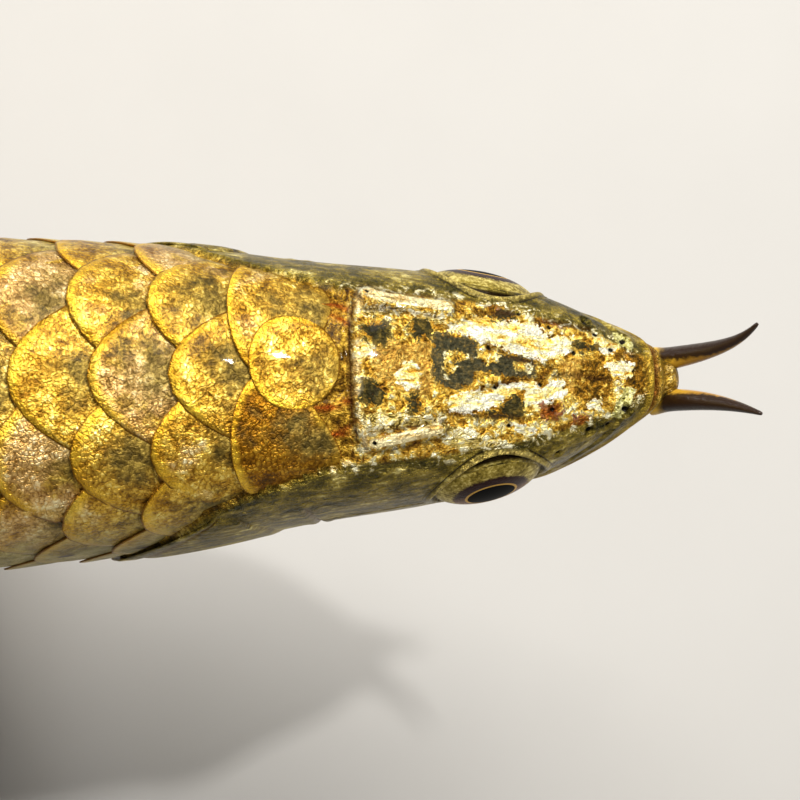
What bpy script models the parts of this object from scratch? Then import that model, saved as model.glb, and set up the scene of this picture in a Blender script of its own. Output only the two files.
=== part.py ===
# Asian arowana, life size, held on a display stand by two rods.
# Metres. +X is forward, +Y the fish's left, +Z up. Origin: centre of the stand's underside.
import functools
import math

import bmesh
import bpy
import numpy as np
from mathutils import Matrix, Vector

# Driving sizes of the fish
BODY_LENGTH = 0.356  # snout tip to the root of the tail fin
SNOUT_X = 0.190  # snout tip ahead of the stand's centre
SNOUT_Z = 0.126  # snout tip above the stand's underside
GAP = 0.0003  # clearance between nodes that touch

# Outline of the body: (place along the body, value), both as shares of BODY_LENGTH
BACK = [(0, -0.003), (0.01, 0.0065), (0.03, 0.0135), (0.06, 0.0235), (0.133, 0.044),
        (0.3, 0.066), (0.42, 0.070), (0.55, 0.066), (0.7, 0.053), (0.82, 0.036), (0.92, 0.023), (1.03, 0.021)]
BELLY = [(0, -0.016), (0.008, -0.028), (0.03, -0.048), (0.06, -0.069), (0.133, -0.116), (0.24, -0.160),
         (0.42, -0.189), (0.52, -0.188), (0.62, -0.170), (0.74, -0.129), (0.85, -0.088), (0.93, -0.068),
         (1.03, -0.064)]
HALF_WIDTH = [(0, 0.004), (0.0035, 0.0088), (0.0134, 0.0166), (0.03, 0.0265), (0.055, 0.0378),
              (0.101, 0.0484), (0.15, 0.0545), (0.231, 0.0665), (0.32, 0.0710), (0.42, 0.0705),
              (0.62, 0.0520), (0.80, 0.0290), (0.95, 0.0140), (1.03, 0.0110)]
WIDEST_SHARE = 0.34  # height of the widest line, as a share of the depth below the back
BACK_ROUNDING = 2.7  # superellipse power above the widest line
BELLY_ROUNDING = [(0, 2.2), (0.2, 2.0), (0.45, 1.75), (0.7, 1.8), (1.03, 2.2)]

# A gentle sweep of the rear body to the left
SWAY_START = 0.42
SWAY = 0.016

# Division of the body
NECK_EDGE = [(0.133, 0.120), (0.133, 0.040), (0.152, 0.035), (0.184, 0.030), (0.205, 0.015),
             (0.228, -0.020), (0.240, -0.060), (0.241, -0.090), (0.230, -0.120), (0.207, -0.145),
             (0.186, -0.170), (0.184, -0.250)]
MOUTH_LINE = [(-0.02, 0.012), (0.006, -0.0065), (0.030, -0.0180), (0.075, -0.0480), (0.125, -0.0830)]
JAW_REAR = [(0.125, -0.0830), (0.138, -0.100), (0.150, -0.160)]
COVER_EDGE = [(0.186, 0.020), (0.169, -0.010), (0.160, -0.050), (0.158, -0.088), (0.166, -0.115),
              (0.190, -0.128), (0.212, -0.133)]
COVER_THICKNESS = 0.0024
TAIL_CUT = 0.612
TAIL_END = 0.975

# Head
EYE_PLACE = 0.0775
EYE_DROP = 0.0118  # below the back
EYE_RADIUS = 0.0088
EYE_HALF_DEPTH = 0.0037
EYE_SUNK = 0.0020  # centre of the ball inside the skin
EYE_LIFT = math.radians(9)
EYE_FORWARD = math.radians(13)
ORBIT_RIM = 0.0006  # radius of the raised skin round the eye
ORBIT_POINTS = 18
LIP_RADIUS = 0.0011
LIP_SUNK = 0.0005
LIP_LIFT = 0.00127  # middle of each lip above or below the mouth line
UPPER_LIP_START, LOWER_LIP_START = 0.0095, 0.0045  # the lower jaw juts out
NOSTRILS = [(0.019, 0.0052), (0.034, 0.0078)]  # place along the head, distance from the midline
NOSTRIL_RADIUS = 0.0008
BARBEL_LENGTH = 0.0235
BARBEL_RADIUS = 0.0018
BARBEL_SPACING = 0.0060
BARBEL_AHEAD = (0.58, 0.08)  # in barbel lengths: straight part, curved part
BARBEL_RISE = (0.38, 0.28)
BARBEL_APART = (0.04, 0.09)
BARBEL_LEAN = 0.07  # how far both sway to the fish's right
BARBEL_TAPER = (0.84, 2.0)  # loss of radius at the tip, and the power by which it sets in

# Fins: number of rays, root from and to along the body, longest ray
DORSAL = {"rays": 19, "start": 0.700, "end": 0.886, "length": 0.104, "lean": (60, 20)}
ANAL = {"rays": 25, "start": 0.622, "end": 0.890, "length": 0.108, "lean": (64, 20)}
FIRST_RAY_SHARE = 0.42  # of the longest ray of the dorsal or anal fin
LONGEST_RAY_AT = 0.52  # of the way along its root
LAST_RAY_LOSS = 0.10
RAY_BEND = math.radians(14)
CAUDAL_RAYS = 15
CAUDAL_LENGTH = 0.150
CAUDAL_SPREAD = math.radians(33)
CAUDAL_ROOT_SHARE = 0.86  # height of its root, as a share of the body's height there
CAUDAL_CORNER_LOSS = 0.33  # how much shorter its outer rays are
PECTORAL = {"rays": 7, "length": 0.245, "place": 0.250, "height": -0.139, "root": 0.020, "steps": 6,
            "ways": ((-0.78, 0.20, -0.50), (-0.95, 0.02, -0.16)), "shares": (1.0, 0.42), "flare": 0.22}
PELVIC = {"rays": 6, "length": 0.088, "place": 0.497, "height": -0.172, "root": 0.018, "steps": 5,
          "ways": ((-0.66, 0.34, -0.62), (-0.93, 0.10, -0.30)), "shares": (1.0, 0.60), "flare": 0.10}
FIN_ROOT_DEPTH = 0.003  # a paired fin's root inside the skin
FIN_ROOT_RISE = 0.006  # from its first ray to its last
RAY_HALF = (0.00095, 0.00045)  # half thickness of a ray at its root and tip
WEB_HALF = (0.00050, 0.00030)  # half thickness of the membrane at its root and edge
ROOT_SUNK = 0.005
ROOT_CLEARANCE = 0.00036  # between a fin or rod and the body that it meets

# Stand
BASE_SIZE = (0.150, 0.094, 0.012)
BASE_CENTRE_X = 0.0
BASE_BEVEL = 0.0025
ROD_RADIUS = 0.003
ROD_COLLAR = (0.0070, 0.0030)  # radius, height
ROD_SIDES = 16
ROD_PLACES = {"front": 0.375, "back": 0.590}

# Scales: rows round the body, places along it in scale lengths behind the first whole scale of the back
SCALE_ROWS = 14
ROW_CROWDING = 0.055  # how much closer the rows lie at the back than at the belly
FIRST_SCALE = 0.1765
SCALE_LENGTH = 0.0335  # one scale along the body at the shoulder, as a share of BODY_LENGTH
SCALE_TAPER = 0.00008  # how much shorter each scale is than the one ahead of it
ROW_OFFSETS = (0.0, 0.25, 0.42, 0.87, 1.37, 1.87, 2.37, 2.87)  # how far each row lies behind the back's
SCALE_ROUNDING = 0.92  # depth of a free edge's arc one row away from its tip, in scale lengths
FIRST_STRETCH = 1.6  # how much longer the scales are that start at the skull
ROUND_ROWS = 3  # rows down from the back whose free edges get an extra point on each side
SCALE_STEP = 0.0008  # height of a free edge above the scale behind it
FOOT_BEHIND = 0.012  # foot of that step behind its edge, in scale lengths
FAR_SHARE = 0.55  # where the extra point of a round edge lies, from its near point to its end
MIDDLE_AHEAD = 0.62  # middle of the visible scale ahead of its tip, in scale lengths
MIDDLE_HEIGHT = 0.75  # of a full step
SCALES_FROM, SCALES_TO = 0.118, 0.995

# Fineness of the meshes
HEAD_RINGS = 24
HEAD_END = 0.262  # the head's block reaches behind its cut edge
RING_CROWDING = 1.6  # the rings crowd towards the snout
RING_POINTS = 28


def collection(name):
    made = bpy.data.collections.new(name)
    bpy.context.scene.collection.children.link(made)
    return made


def material(name, colour, roughness, metallic=0.0):
    made = bpy.data.materials.new(name)
    made.use_nodes = True
    shader = made.node_tree.nodes["Principled BSDF"]
    shader.inputs["Base Color"].default_value = (*colour, 1)
    shader.inputs["Roughness"].default_value = roughness
    shader.inputs["Metallic"].default_value = metallic
    return made


for old in list(bpy.data.objects):
    bpy.data.objects.remove(old)
FISH = collection("asian_arowana")
CUTTERS = collection("cutters")


# Shape of the body

def curve_through(knots, places):
    """Smooth curve through (place, value) knots, without overshoot."""
    x, y = np.array(knots, float).T
    step = np.diff(x)
    rise = np.diff(y) / step
    slope = np.concatenate([[rise[0]], np.zeros(len(x) - 2), [rise[-1]]])
    for i in range(1, len(x) - 1):
        if rise[i - 1] * rise[i] > 0:
            a, b = 2 * step[i] + step[i - 1], step[i] + 2 * step[i - 1]
            slope[i] = (a + b) / (a / rise[i - 1] + b / rise[i])
    at = np.clip(places, x[0], x[-1])
    i = np.clip(np.searchsorted(x, at) - 1, 0, len(x) - 2)
    t = (at - x[i]) / step[i]
    return ((1 + 2 * t) * (1 - t) ** 2 * y[i] + t * (1 - t) ** 2 * step[i] * slope[i]
            + t * t * (3 - 2 * t) * y[i + 1] + t * t * (t - 1) * step[i] * slope[i + 1])


def world(place, across, height):
    """Point from its place along the body, distance to the left and share of height."""
    return Vector((SNOUT_X - place * BODY_LENGTH, across, SNOUT_Z + height * BODY_LENGTH))


def back(place):
    return float(curve_through(BACK, place))


def belly(place):
    return float(curve_through(BELLY, place))


def section(place, angle, inset=0.0):
    """Point on the skin at an angle round the body, from 0 at the back to pi at the belly, left first."""
    top = back(place)
    low = belly(place)
    middle = top - WIDEST_SHARE * (top - low)
    wide = float(curve_through(HALF_WIDTH, place)) - inset
    power = BACK_ROUNDING if math.cos(angle) > 0 else float(curve_through(BELLY_ROUNDING, place))
    reach = (top - middle if math.cos(angle) > 0 else middle - low) - inset
    rise = abs(math.cos(angle)) ** (2 / power) * math.copysign(1, math.cos(angle))
    side = abs(math.sin(angle)) ** (2 / power) * math.copysign(1, math.sin(angle))
    return world(place, side * wide * BODY_LENGTH, middle + rise * reach)


def sway(point):
    """The rear body swept gently aside."""
    place = (SNOUT_X - point.x) / BODY_LENGTH
    share = max(0.0, (place - SWAY_START) / (1 - SWAY_START))
    return Vector((point.x, point.y + SWAY * share * share, point.z))


# Mesh tools

def mesh_object(name, points, faces, where=None):
    mesh = bpy.data.meshes.new(name)
    mesh.from_pydata([tuple(p) for p in points], [], faces)
    made = bpy.data.objects.new(name, mesh)
    (where or FISH).objects.link(made)
    work = bmesh.new()
    work.from_mesh(mesh)
    bmesh.ops.triangulate(work, faces=[f for f in work.faces if len(f.verts) > 4])
    bmesh.ops.recalc_face_normals(work, faces=work.faces)
    work.to_mesh(mesh)
    work.free()
    return made


def loft(name, rings, where=None):
    """Closed skin over rings of equal length, with a point at each end."""
    count = len(rings[0])
    points = [p for ring in rings for p in ring]
    faces = []
    for r in range(len(rings) - 1):
        for k in range(count):
            a, b = r * count + k, r * count + (k + 1) % count
            faces.append((a, b, b + count, a + count))
    for ring, start in ((rings[0], 0), (rings[-1], count * (len(rings) - 1))):
        centre = len(points)
        points.append(sum((Vector(p) for p in ring), Vector()) / count)
        faces += [(start + k, start + (k + 1) % count, centre) for k in range(count)]
    return mesh_object(name, points, faces, where)


def plate(name, outline, half_width, where=None):
    """Closed slab: an outline of (place, height) carried across the body."""
    sides = [[world(s, side * half_width, z) for s, z in outline] for side in (-1, 1)]
    count = len(outline)
    faces = [tuple(range(count)), tuple(range(2 * count - 1, count - 1, -1))]
    faces += [(k, (k + 1) % count, (k + 1) % count + count, k + count) for k in range(count)]
    return mesh_object(name, sides[0] + sides[1], faces, where)


def rounded(knots, steps=4):
    """A line of points made smooth by rounding between its knots."""
    knots = [Vector(k) for k in knots]
    line = []
    for i in range(len(knots) - 1):
        before = knots[max(i - 1, 0)]
        after = knots[min(i + 2, len(knots) - 1)]
        start, end = knots[i], knots[i + 1]
        for k in range(steps):
            t = k / steps
            pull = 2 * start + (end - before) * t + (2 * before - 5 * start + 4 * end - after) * t * t
            line.append((pull + (3 * start - before - 3 * end + after) * t ** 3) / 2)
    return line + [knots[-1]]


def ribbon(line, thickness):
    """Outline of a thin strip along a line of (place, height)."""
    points = [Vector(p) for p in line]
    half = thickness / BODY_LENGTH / 2
    left, right = [], []
    for i, p in enumerate(points):
        run = points[min(i + 1, len(points) - 1)] - points[max(i - 1, 0)]
        side = Vector((-run.y, run.x)).normalized() * half
        left.append(p + side)
        right.append(p - side)
    return left + right[::-1]


def tube(name, centres, radii, sides=8, where=None):
    """Closed round tube through centres, its ends drawn to points."""
    rings = []
    for i, centre in enumerate(centres):
        run = (centres[min(i + 1, len(centres) - 1)] - centres[max(i - 1, 0)]).normalized()
        across = run.cross(Vector((0.1, 0.2, 1))).normalized()
        up = across.cross(run)
        turns = [2 * math.pi * k / sides for k in range(sides)]
        rings.append([centre + (across * math.cos(t) + up * math.sin(t)) * radii[i] for t in turns])
    return loft(name, rings, where)


def apply_modifiers(target):
    view = bpy.context.evaluated_depsgraph_get()
    view.update()
    result = bpy.data.meshes.new_from_object(target.evaluated_get(view))
    target.modifiers.clear()
    target.data = result


def boolean(target, cutter, operation, keep_cutter=False):
    """Apply a Boolean to the target's mesh and drop the cutter. EXACT leaves open seams at the lips."""
    change = target.modifiers.new(operation, "BOOLEAN")
    change.operation = operation
    change.solver = "MANIFOLD"
    change.object = cutter
    apply_modifiers(target)
    if not keep_cutter:
        bpy.data.objects.remove(cutter)
    return target


def copy_of(source, name, where=None):
    made = source.copy()
    made.data = source.data.copy()
    made.name = name
    (where or CUTTERS).objects.link(made)
    return made


def pieces(source):
    """Split a mesh into its closed pieces, largest first, as bmesh face groups."""
    work = bmesh.new()
    work.from_mesh(source.data)
    work.faces.ensure_lookup_table()
    groups, seen = [], set()
    for start in work.faces:
        if start.index in seen:
            continue
        seen.add(start.index)
        group, edge_on = [], [start]
        while edge_on:
            face = edge_on.pop()
            group.append(face.index)
            for edge in face.edges:
                for other in edge.link_faces:
                    if other.index not in seen:
                        seen.add(other.index)
                        edge_on.append(other)
        groups.append(group)
    work.free()
    return sorted(groups, key=len, reverse=True)


def keep_faces(target, group):
    work = bmesh.new()
    work.from_mesh(target.data)
    chosen = set(group)
    bmesh.ops.delete(work, geom=[f for f in work.faces if f.index not in chosen], context="FACES")
    work.to_mesh(target.data)
    work.free()
    return target


def largest(target):
    """Keep only the largest closed surface."""
    return keep_faces(target, pieces(target)[0])


def grown(source, amount):
    """Copy of a solid with its skin moved outward, as a cutter that leaves a gap."""
    made = copy_of(source, source.name + "_grown")
    work = bmesh.new()
    work.from_mesh(made.data)
    bmesh.ops.remove_doubles(work, verts=work.verts, dist=1e-6)
    work.normal_update()
    moves = [(v, v.normal * amount * v.calc_shell_factor()) for v in work.verts]
    for vertex, move in moves:
        vertex.co += move
    work.to_mesh(made.data)
    work.free()
    return made


def finish(target, look):
    """Drop scraps, give the piece its material and shade it smooth."""
    work = bmesh.new()
    work.from_mesh(target.data)
    bmesh.ops.remove_doubles(work, verts=work.verts, dist=2e-6)
    bmesh.ops.dissolve_degenerate(work, edges=work.edges, dist=2e-6)
    bmesh.ops.triangulate(work, faces=work.faces)
    work.to_mesh(target.data)
    work.free()
    largest(target)
    target.data.materials.clear()
    target.data.materials.append(look)
    target.data.shade_smooth()
    target.data.set_sharp_from_angle(angle=math.radians(40))
    return target


# Body and head

def ring(place, inset=0.0, points=RING_POINTS):
    return [section(place, 2 * math.pi * k / points, inset) for k in range(points)]


def make_head_block(name, inset=0.0, where=None):
    """The head and throat from the snout to behind the gill opening."""
    count = HEAD_RINGS if inset <= 0 else HEAD_RINGS // 2
    places = [HEAD_END * (k / count) ** RING_CROWDING for k in range(count + 1)]
    return loft(name, [ring(s, inset) for s in places if inset <= 0 or s > 0.03], where)


def girth_spot(place, girth):
    """Skin point and outward direction at a count of scale rows round the body, left side first."""
    row = min(girth % SCALE_ROWS, SCALE_ROWS - girth % SCALE_ROWS)
    side = 1 if girth % SCALE_ROWS <= SCALE_ROWS / 2 else -1
    share = row / (SCALE_ROWS / 2)
    share -= ROW_CROWDING * math.sin(math.pi * share)
    angles, lengths = half_girth(round(place, 5))
    angle = side * float(np.interp(share * lengths[-1], lengths, angles))
    spot = section(place, angle)
    along = section(place + 0.002, angle) - section(place - 0.002, angle)
    around = section(place, angle + 0.01) - section(place, angle - 0.01)
    return spot, around.cross(along).normalized()


@functools.lru_cache(maxsize=None)
def half_girth(place):
    """Angles from back to belly and the length of skin up to each."""
    angles = np.linspace(0, math.pi, 61)
    line = np.array([section(place, a) for a in angles])
    steps = np.linalg.norm(np.diff(line, axis=0), axis=1)
    return angles, np.concatenate([[0.0], np.cumsum(steps)])


def scale_place(count):
    """Place along the body of a number of scale lengths. Those ahead of the first are long."""
    stretch = FIRST_STRETCH if count < 0 else 1.0
    return FIRST_SCALE + SCALE_LENGTH * stretch * count - SCALE_TAPER * count * abs(count)


def edge_points(row):
    """Points on a free edge from right to left. The back's edges are rounder than the belly's."""
    points = [(-1, "near"), (0, "tip"), (1, "near")]
    return [(-1, "far")] + points + [(1, "far")] if min(row, SCALE_ROWS - row) <= ROUND_ROWS else points


def row_offset(row):
    return ROW_OFFSETS[min(row % SCALE_ROWS, SCALE_ROWS - row % SCALE_ROWS)]


def ahead(row, number, side):
    """The scale of the next row that lies just ahead, and how far its tip is ahead of this one's."""
    other = (row + side) % SCALE_ROWS
    tip = number + row_offset(row)
    found = math.ceil(tip - row_offset(other)) - 1
    return other, found, tip - found - row_offset(other)


def make_body_block(name):
    """The trunk with its scales: each has a free edge that steps down onto the scales behind it.
    A free edge is an arc from its tip out to where it passes under the scales of the next rows."""
    points, faces, index = [], [], {}

    def corner(row, number, side, kind, raised):
        """Index of a point on a free edge: its tip, near, far or buried point, on top or at the foot."""
        if kind == "buried":
            other, found, _ = ahead(row, number, side)
            return corner(other, found, -side, "near", False)
        if kind == "tip":
            side = 0
        key = (row, number, side, kind, raised)
        if key not in index:
            across = 0.0
            if side:
                lead = ahead(row, number, side)[2]
                near = (1 - (1 - lead) / SCALE_ROUNDING) / 2
                end = (1 + lead / SCALE_ROUNDING) / 2
                across = near if kind == "near" else near + FAR_SHARE * (end - near)
            count = number + row_offset(row) - SCALE_ROUNDING * across * across
            count += 0 if raised else FOOT_BEHIND
            height = SCALE_STEP * (0.8 if kind == "far" else 1.0) if raised else 0.0
            add(key, count, row + side * across, height)
        return index[key]

    def add(key, count, girth, height):
        spot, out = girth_spot(scale_place(count), girth)
        index[key] = len(points)
        points.append(spot + out * height)

    for row in range(SCALE_ROWS):
        first = math.floor((SCALES_FROM - FIRST_SCALE) / SCALE_LENGTH - row_offset(row))
        number = first
        while scale_place(number + row_offset(row)) < SCALES_TO:
            edge, foot = [[corner(row, number, side, kind, raised) for side, kind in edge_points(row)]
                          for raised in (True, False)]
            ends = [corner(row, number, side, "buried", False) for side in (-1, 1)]
            left, right = ahead(row, number, 1), ahead(row, number, -1)
            middle_ahead = ((1, "near"), (0, "tip"), (-1, "near"))
            front = [corner(row, number - 1, side, kind, False) for side, kind in middle_ahead]
            if (-1, "far") in edge_points(left[0]):
                front.insert(0, corner(left[0], left[1], -1, "far", False))
            if (1, "far") in edge_points(right[0]):
                front.append(corner(right[0], right[1], 1, "far", False))
            rim = [ends[0]] + edge + [ends[1]] + front
            count = number + row_offset(row) - MIDDLE_AHEAD
            add(("middle", row, number), count, row, SCALE_STEP * MIDDLE_HEIGHT)
            middle = len(points) - 1
            faces += [(a, b, middle) for a, b in zip(rim, rim[1:] + rim[:1])]
            faces += [(ends[0], foot[0], edge[0]), (edge[-1], foot[-1], ends[1])]
            for k in range(len(edge) - 1):
                faces += [(edge[k], foot[k], foot[k + 1]), (edge[k], foot[k + 1], edge[k + 1])]
            number += 1
    used = sorted({k for face in faces for k in face})
    place = {k: i for i, k in enumerate(used)}
    block = mesh_object(name, [points[k] for k in used], [tuple(place[k] for k in face) for face in faces])
    return close_ends(block)


def close_ends(target):
    """Close each open end of a tube-like skin with a fan to its middle."""
    work = bmesh.new()
    work.from_mesh(target.data)
    rim = {e for e in work.edges if e.is_boundary}
    while rim:
        start = rim.pop()
        loop, vertex = [start], start.verts[0]
        while True:
            following = next((e for e in vertex.link_edges if e in rim), None)
            if following is None:
                break
            rim.remove(following)
            loop.append(following)
            vertex = following.other_vert(vertex)
        corners = {v for e in loop for v in e.verts}
        middle = work.verts.new(sum((v.co for v in corners), Vector()) / len(corners))
        for edge in loop:
            work.faces.new((*edge.verts, middle))
    bmesh.ops.recalc_face_normals(work, faces=work.faces)
    work.to_mesh(target.data)
    work.free()
    return target


def neck_prism(name, grow=0.0):
    """Everything ahead of the line where the skull and gill covers end."""
    outline = [Vector((-0.1, 0.12))] + rounded(NECK_EDGE) + [Vector((-0.1, -0.25))]
    return plate(name, widened(outline, grow), 0.1, CUTTERS)


def skin_spot(place, drop, side):
    """Point on the side of the head at a drop below the back, with the angle that reaches it."""
    low, high = 0.0, math.pi / 2
    for _ in range(40):
        angle = (low + high) / 2
        fallen = world(place, 0, back(place)).z - section(place, angle).z
        low, high = (angle, high) if fallen < drop else (low, angle)
    point = section(place, low)
    return Vector((point.x, side * point.y, point.z))


def eye_frame(side):
    """Centre and turning of an eye: its own Z points out of the head."""
    spot = skin_spot(EYE_PLACE, EYE_DROP, side)
    out = Vector((math.sin(EYE_FORWARD), side * math.cos(EYE_FORWARD), math.tan(EYE_LIFT))).normalized()
    return Matrix.Translation(spot - out * EYE_SUNK) @ out.to_track_quat("Z", "Y").to_matrix().to_4x4()


def eyeball(name, side, grow, where):
    """Flattened ball that fills the orbit."""
    work = bmesh.new()
    bmesh.ops.create_uvsphere(work, u_segments=18, v_segments=8, radius=1.0)
    wide, deep = EYE_RADIUS + grow, EYE_HALF_DEPTH + grow
    placed = eye_frame(side) @ Matrix.Diagonal((wide, wide, deep, 1))
    bmesh.ops.transform(work, matrix=placed, verts=work.verts)
    mesh = bpy.data.meshes.new(name)
    work.to_mesh(mesh)
    work.free()
    made = bpy.data.objects.new(name, mesh)
    where.objects.link(made)
    return made


def orbit_rim(side):
    """Raised ring of skin round the eye."""
    frame = eye_frame(side)
    bpy.ops.mesh.primitive_torus_add(major_radius=EYE_RADIUS, minor_radius=ORBIT_RIM,
                                     major_segments=ORBIT_POINTS, minor_segments=4)
    made = bpy.context.object
    for old in made.users_collection:
        old.objects.unlink(made)
    CUTTERS.objects.link(made)
    made.data.transform(frame @ Matrix.Translation((0, 0, EYE_SUNK)))
    return made


def mouth_point(place, side, lift):
    """Point on the skin beside the mouth line."""
    height = float(curve_through(MOUTH_LINE, place)) + lift / BODY_LENGTH
    sunk = LIP_SUNK / BODY_LENGTH
    low, high = 0.0, math.pi
    for _ in range(40):
        angle = (low + high) / 2
        above = section(place, angle, sunk).z > SNOUT_Z + height * BODY_LENGTH
        low, high = (angle, high) if above else (low, angle)
    point = section(place, low, sunk)
    return Vector((point.x, side * point.y, point.z))


def lip(name, lift, grow=0.0):
    """Rounded lip that follows the mouth line from one corner round the snout to the other."""
    start = UPPER_LIP_START if lift > 0 else LOWER_LIP_START
    places = [start + (MOUTH_LINE[-1][0] - 0.004 - start) * (k / 10) ** 1.8 for k in range(11)]
    left = [mouth_point(s, 1, lift) for s in reversed(places)]
    right = [mouth_point(s, -1, lift) for s in places]
    line = left + right
    radii = [LIP_RADIUS * min(1.0, 0.45 + 0.2 * min(i, len(line) - 1 - i)) + grow for i in range(len(line))]
    return tube(name, line, radii, 6, CUTTERS)


def make_head_nodes(looks):
    """Head, lower jaw and gill covers from one block, parted by thin cuts."""
    block = make_head_block("head")
    boolean(block, neck_prism("neck_cut"), "INTERSECT")
    for side in (-1, 1):
        boolean(block, orbit_rim(side), "UNION")
        boolean(block, eyeball("orbit", side, GAP, CUTTERS), "DIFFERENCE")
    for lift in (LIP_LIFT, -LIP_LIFT):
        boolean(block, lip("lip", lift), "UNION")
    for place, across in NOSTRILS:
        for side in (-1, 1):
            top = world(place, side * across, back(place))
            pit = tube("nostril", [top - Vector((0, 0, 0.004)), top + Vector((0, 0, 0.002))],
                       [NOSTRIL_RADIUS] * 2, 6, CUTTERS)
            boolean(block, pit, "DIFFERENCE")
    cover_region = rounded(COVER_EDGE) + [Vector((0.30, -0.14)), Vector((0.30, 0.020))]
    cover = copy_of(block, "gill_covers", FISH)
    boolean(cover, plate("cover_region", cover_region, 0.1, CUTTERS), "INTERSECT")
    inner = make_head_block("cover_inside", COVER_THICKNESS / BODY_LENGTH, CUTTERS)
    boolean(cover, inner, "DIFFERENCE")
    room = plate("cover_room", widened(cover_region, GAP), 0.1, CUTTERS)
    inner = make_head_block("cover_bed", (COVER_THICKNESS + GAP) / BODY_LENGTH, CUTTERS)
    boolean(room, inner, "DIFFERENCE")
    boolean(block, room, "DIFFERENCE")
    cut = ribbon(rounded(MOUTH_LINE) + rounded(JAW_REAR)[1:], GAP)
    boolean(block, plate("mouth_cut", cut, 0.1, CUTTERS), "DIFFERENCE")
    made = []
    names = sorted_pieces(block, ("head", "lower_jaw"), lambda p: -p.z)
    made += [finish(n, looks["head" if n.name == "head" else "jaw"]) for n in names]
    covers = sorted_pieces(cover, ("gill_cover_left", "gill_cover_right"), lambda p: -p.y)
    made += [finish(n, looks["cover"]) for n in covers]
    return made


def widened(outline, amount):
    """Outline of a region moved outward by an amount in metres."""
    points = [Vector(p) for p in outline]
    area = sum(a.x * b.y - b.x * a.y for a, b in zip(points, points[1:] + points[:1]))
    turn = math.copysign(1, area)
    moved = []
    for i, p in enumerate(points):
        run = (points[(i + 1) % len(points)] - points[i - 1]).normalized()
        moved.append(p + Vector((run.y, -run.x)) * turn * amount / BODY_LENGTH)
    return moved


def sorted_pieces(source, names, key):
    """The two largest pieces of a mesh as objects of their own, named in the order of a key."""
    groups = pieces(source)[:2]
    objects = [keep_faces(copy_of(source, "piece", FISH), g) for g in groups]
    centre = {o: sum((v.co for v in o.data.vertices), Vector()) / len(o.data.vertices) for o in objects}
    objects.sort(key=lambda o: key(centre[o]))
    bpy.data.objects.remove(source)
    for made, name in zip(objects, names):
        made.name = name
    return objects


def make_trunk(looks):
    """Torso and tail, parted ahead of the anal fin."""
    block = make_body_block("torso")
    boolean(block, neck_prism("neck_cut", GAP), "DIFFERENCE")
    end = [(TAIL_END, 0.2), (1.2, 0.2), (1.2, -0.3), (TAIL_END, -0.3)]
    boolean(block, plate("tail_end", end, 0.1, CUTTERS), "DIFFERENCE")
    cut = ribbon([(TAIL_CUT, 0.2), (TAIL_CUT, -0.3)], GAP)
    boolean(block, plate("tail_cut", cut, 0.1, CUTTERS), "DIFFERENCE")
    torso, tail = sorted_pieces(block, ("torso", "tail"), lambda p: -p.x)
    return finish(torso, looks["body"]), finish(tail, looks["body"])


# Fins

def fin(name, rays, normal):
    """Closed membrane over rays that stand out as ridges on both faces."""
    across = []
    for i, line in enumerate(rays):
        across.append((line, True))
        if i + 1 < len(rays):
            other = rays[i + 1]
            across.append(([(a + b) / 2 for a, b in zip(line, other)], False))
    rows = len(rays[0])
    fronts, backs = [], []
    for line, is_ray in across:
        root, edge = RAY_HALF if is_ray else WEB_HALF
        for r, point in enumerate(line):
            half = root + (edge - root) * r / (rows - 1)
            fronts.append(point + normal * half)
            backs.append(point - normal * half)
    lines, back_at = len(across), len(fronts)
    faces = []
    for i in range(lines - 1):
        for r in range(rows - 1):
            a, b = i * rows + r, (i + 1) * rows + r
            for tri in ((a, b, b + 1), (a, b + 1, a + 1)):
                faces.append(tri)
                faces.append(tuple(k + back_at for k in reversed(tri)))
    rim = [r for r in range(rows)] + [i * rows + rows - 1 for i in range(1, lines)]
    rim += [(lines - 1) * rows + r for r in range(rows - 2, -1, -1)]
    rim += [i * rows for i in range(lines - 2, 0, -1)]
    for a, b in zip(rim, rim[1:] + rim[:1]):
        faces += [(a, b, b + back_at), (a, b + back_at, a + back_at)]
    return mesh_object(name, fronts + backs, faces)


def ray_line(root, angle, length, bend, rows):
    """A ray in the plane of the body from its root, leaning back and bending further back."""
    points, at = [], Vector(root)
    for r in range(rows):
        points.append(at.copy())
        lean = angle - bend * (r / (rows - 1))
        at = at + Vector((-math.cos(lean), 0, math.sin(lean))) * length / (rows - 1)
    return points


def median_fin(name, size, up):
    """Dorsal (up = 1) or anal (up = -1) fin."""
    rays = []
    for i in range(size["rays"]):
        t = i / (size["rays"] - 1)
        place = size["start"] + (size["end"] - size["start"]) * t
        edge = back(place) if up > 0 else belly(place)
        root = world(place, 0, edge)
        root.z -= up * ROOT_SUNK
        lean = math.radians(size["lean"][0] + (size["lean"][1] - size["lean"][0]) * t ** 1.3)
        grown_share = math.sin(min(1.0, t / LONGEST_RAY_AT) * math.pi / 2)
        share = FIRST_RAY_SHARE + (1 - FIRST_RAY_SHARE) * grown_share
        share -= LAST_RAY_LOSS * max(0.0, t - 0.7) / 0.3
        length = size["length"] * BODY_LENGTH * share + ROOT_SUNK
        line = ray_line((root.x, 0, 0), lean, length, RAY_BEND, 4)
        rays.append([Vector((p.x, 0, root.z + up * p.z)) for p in line])
    return fin(name, rays, Vector((0, 1, 0)))


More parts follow.
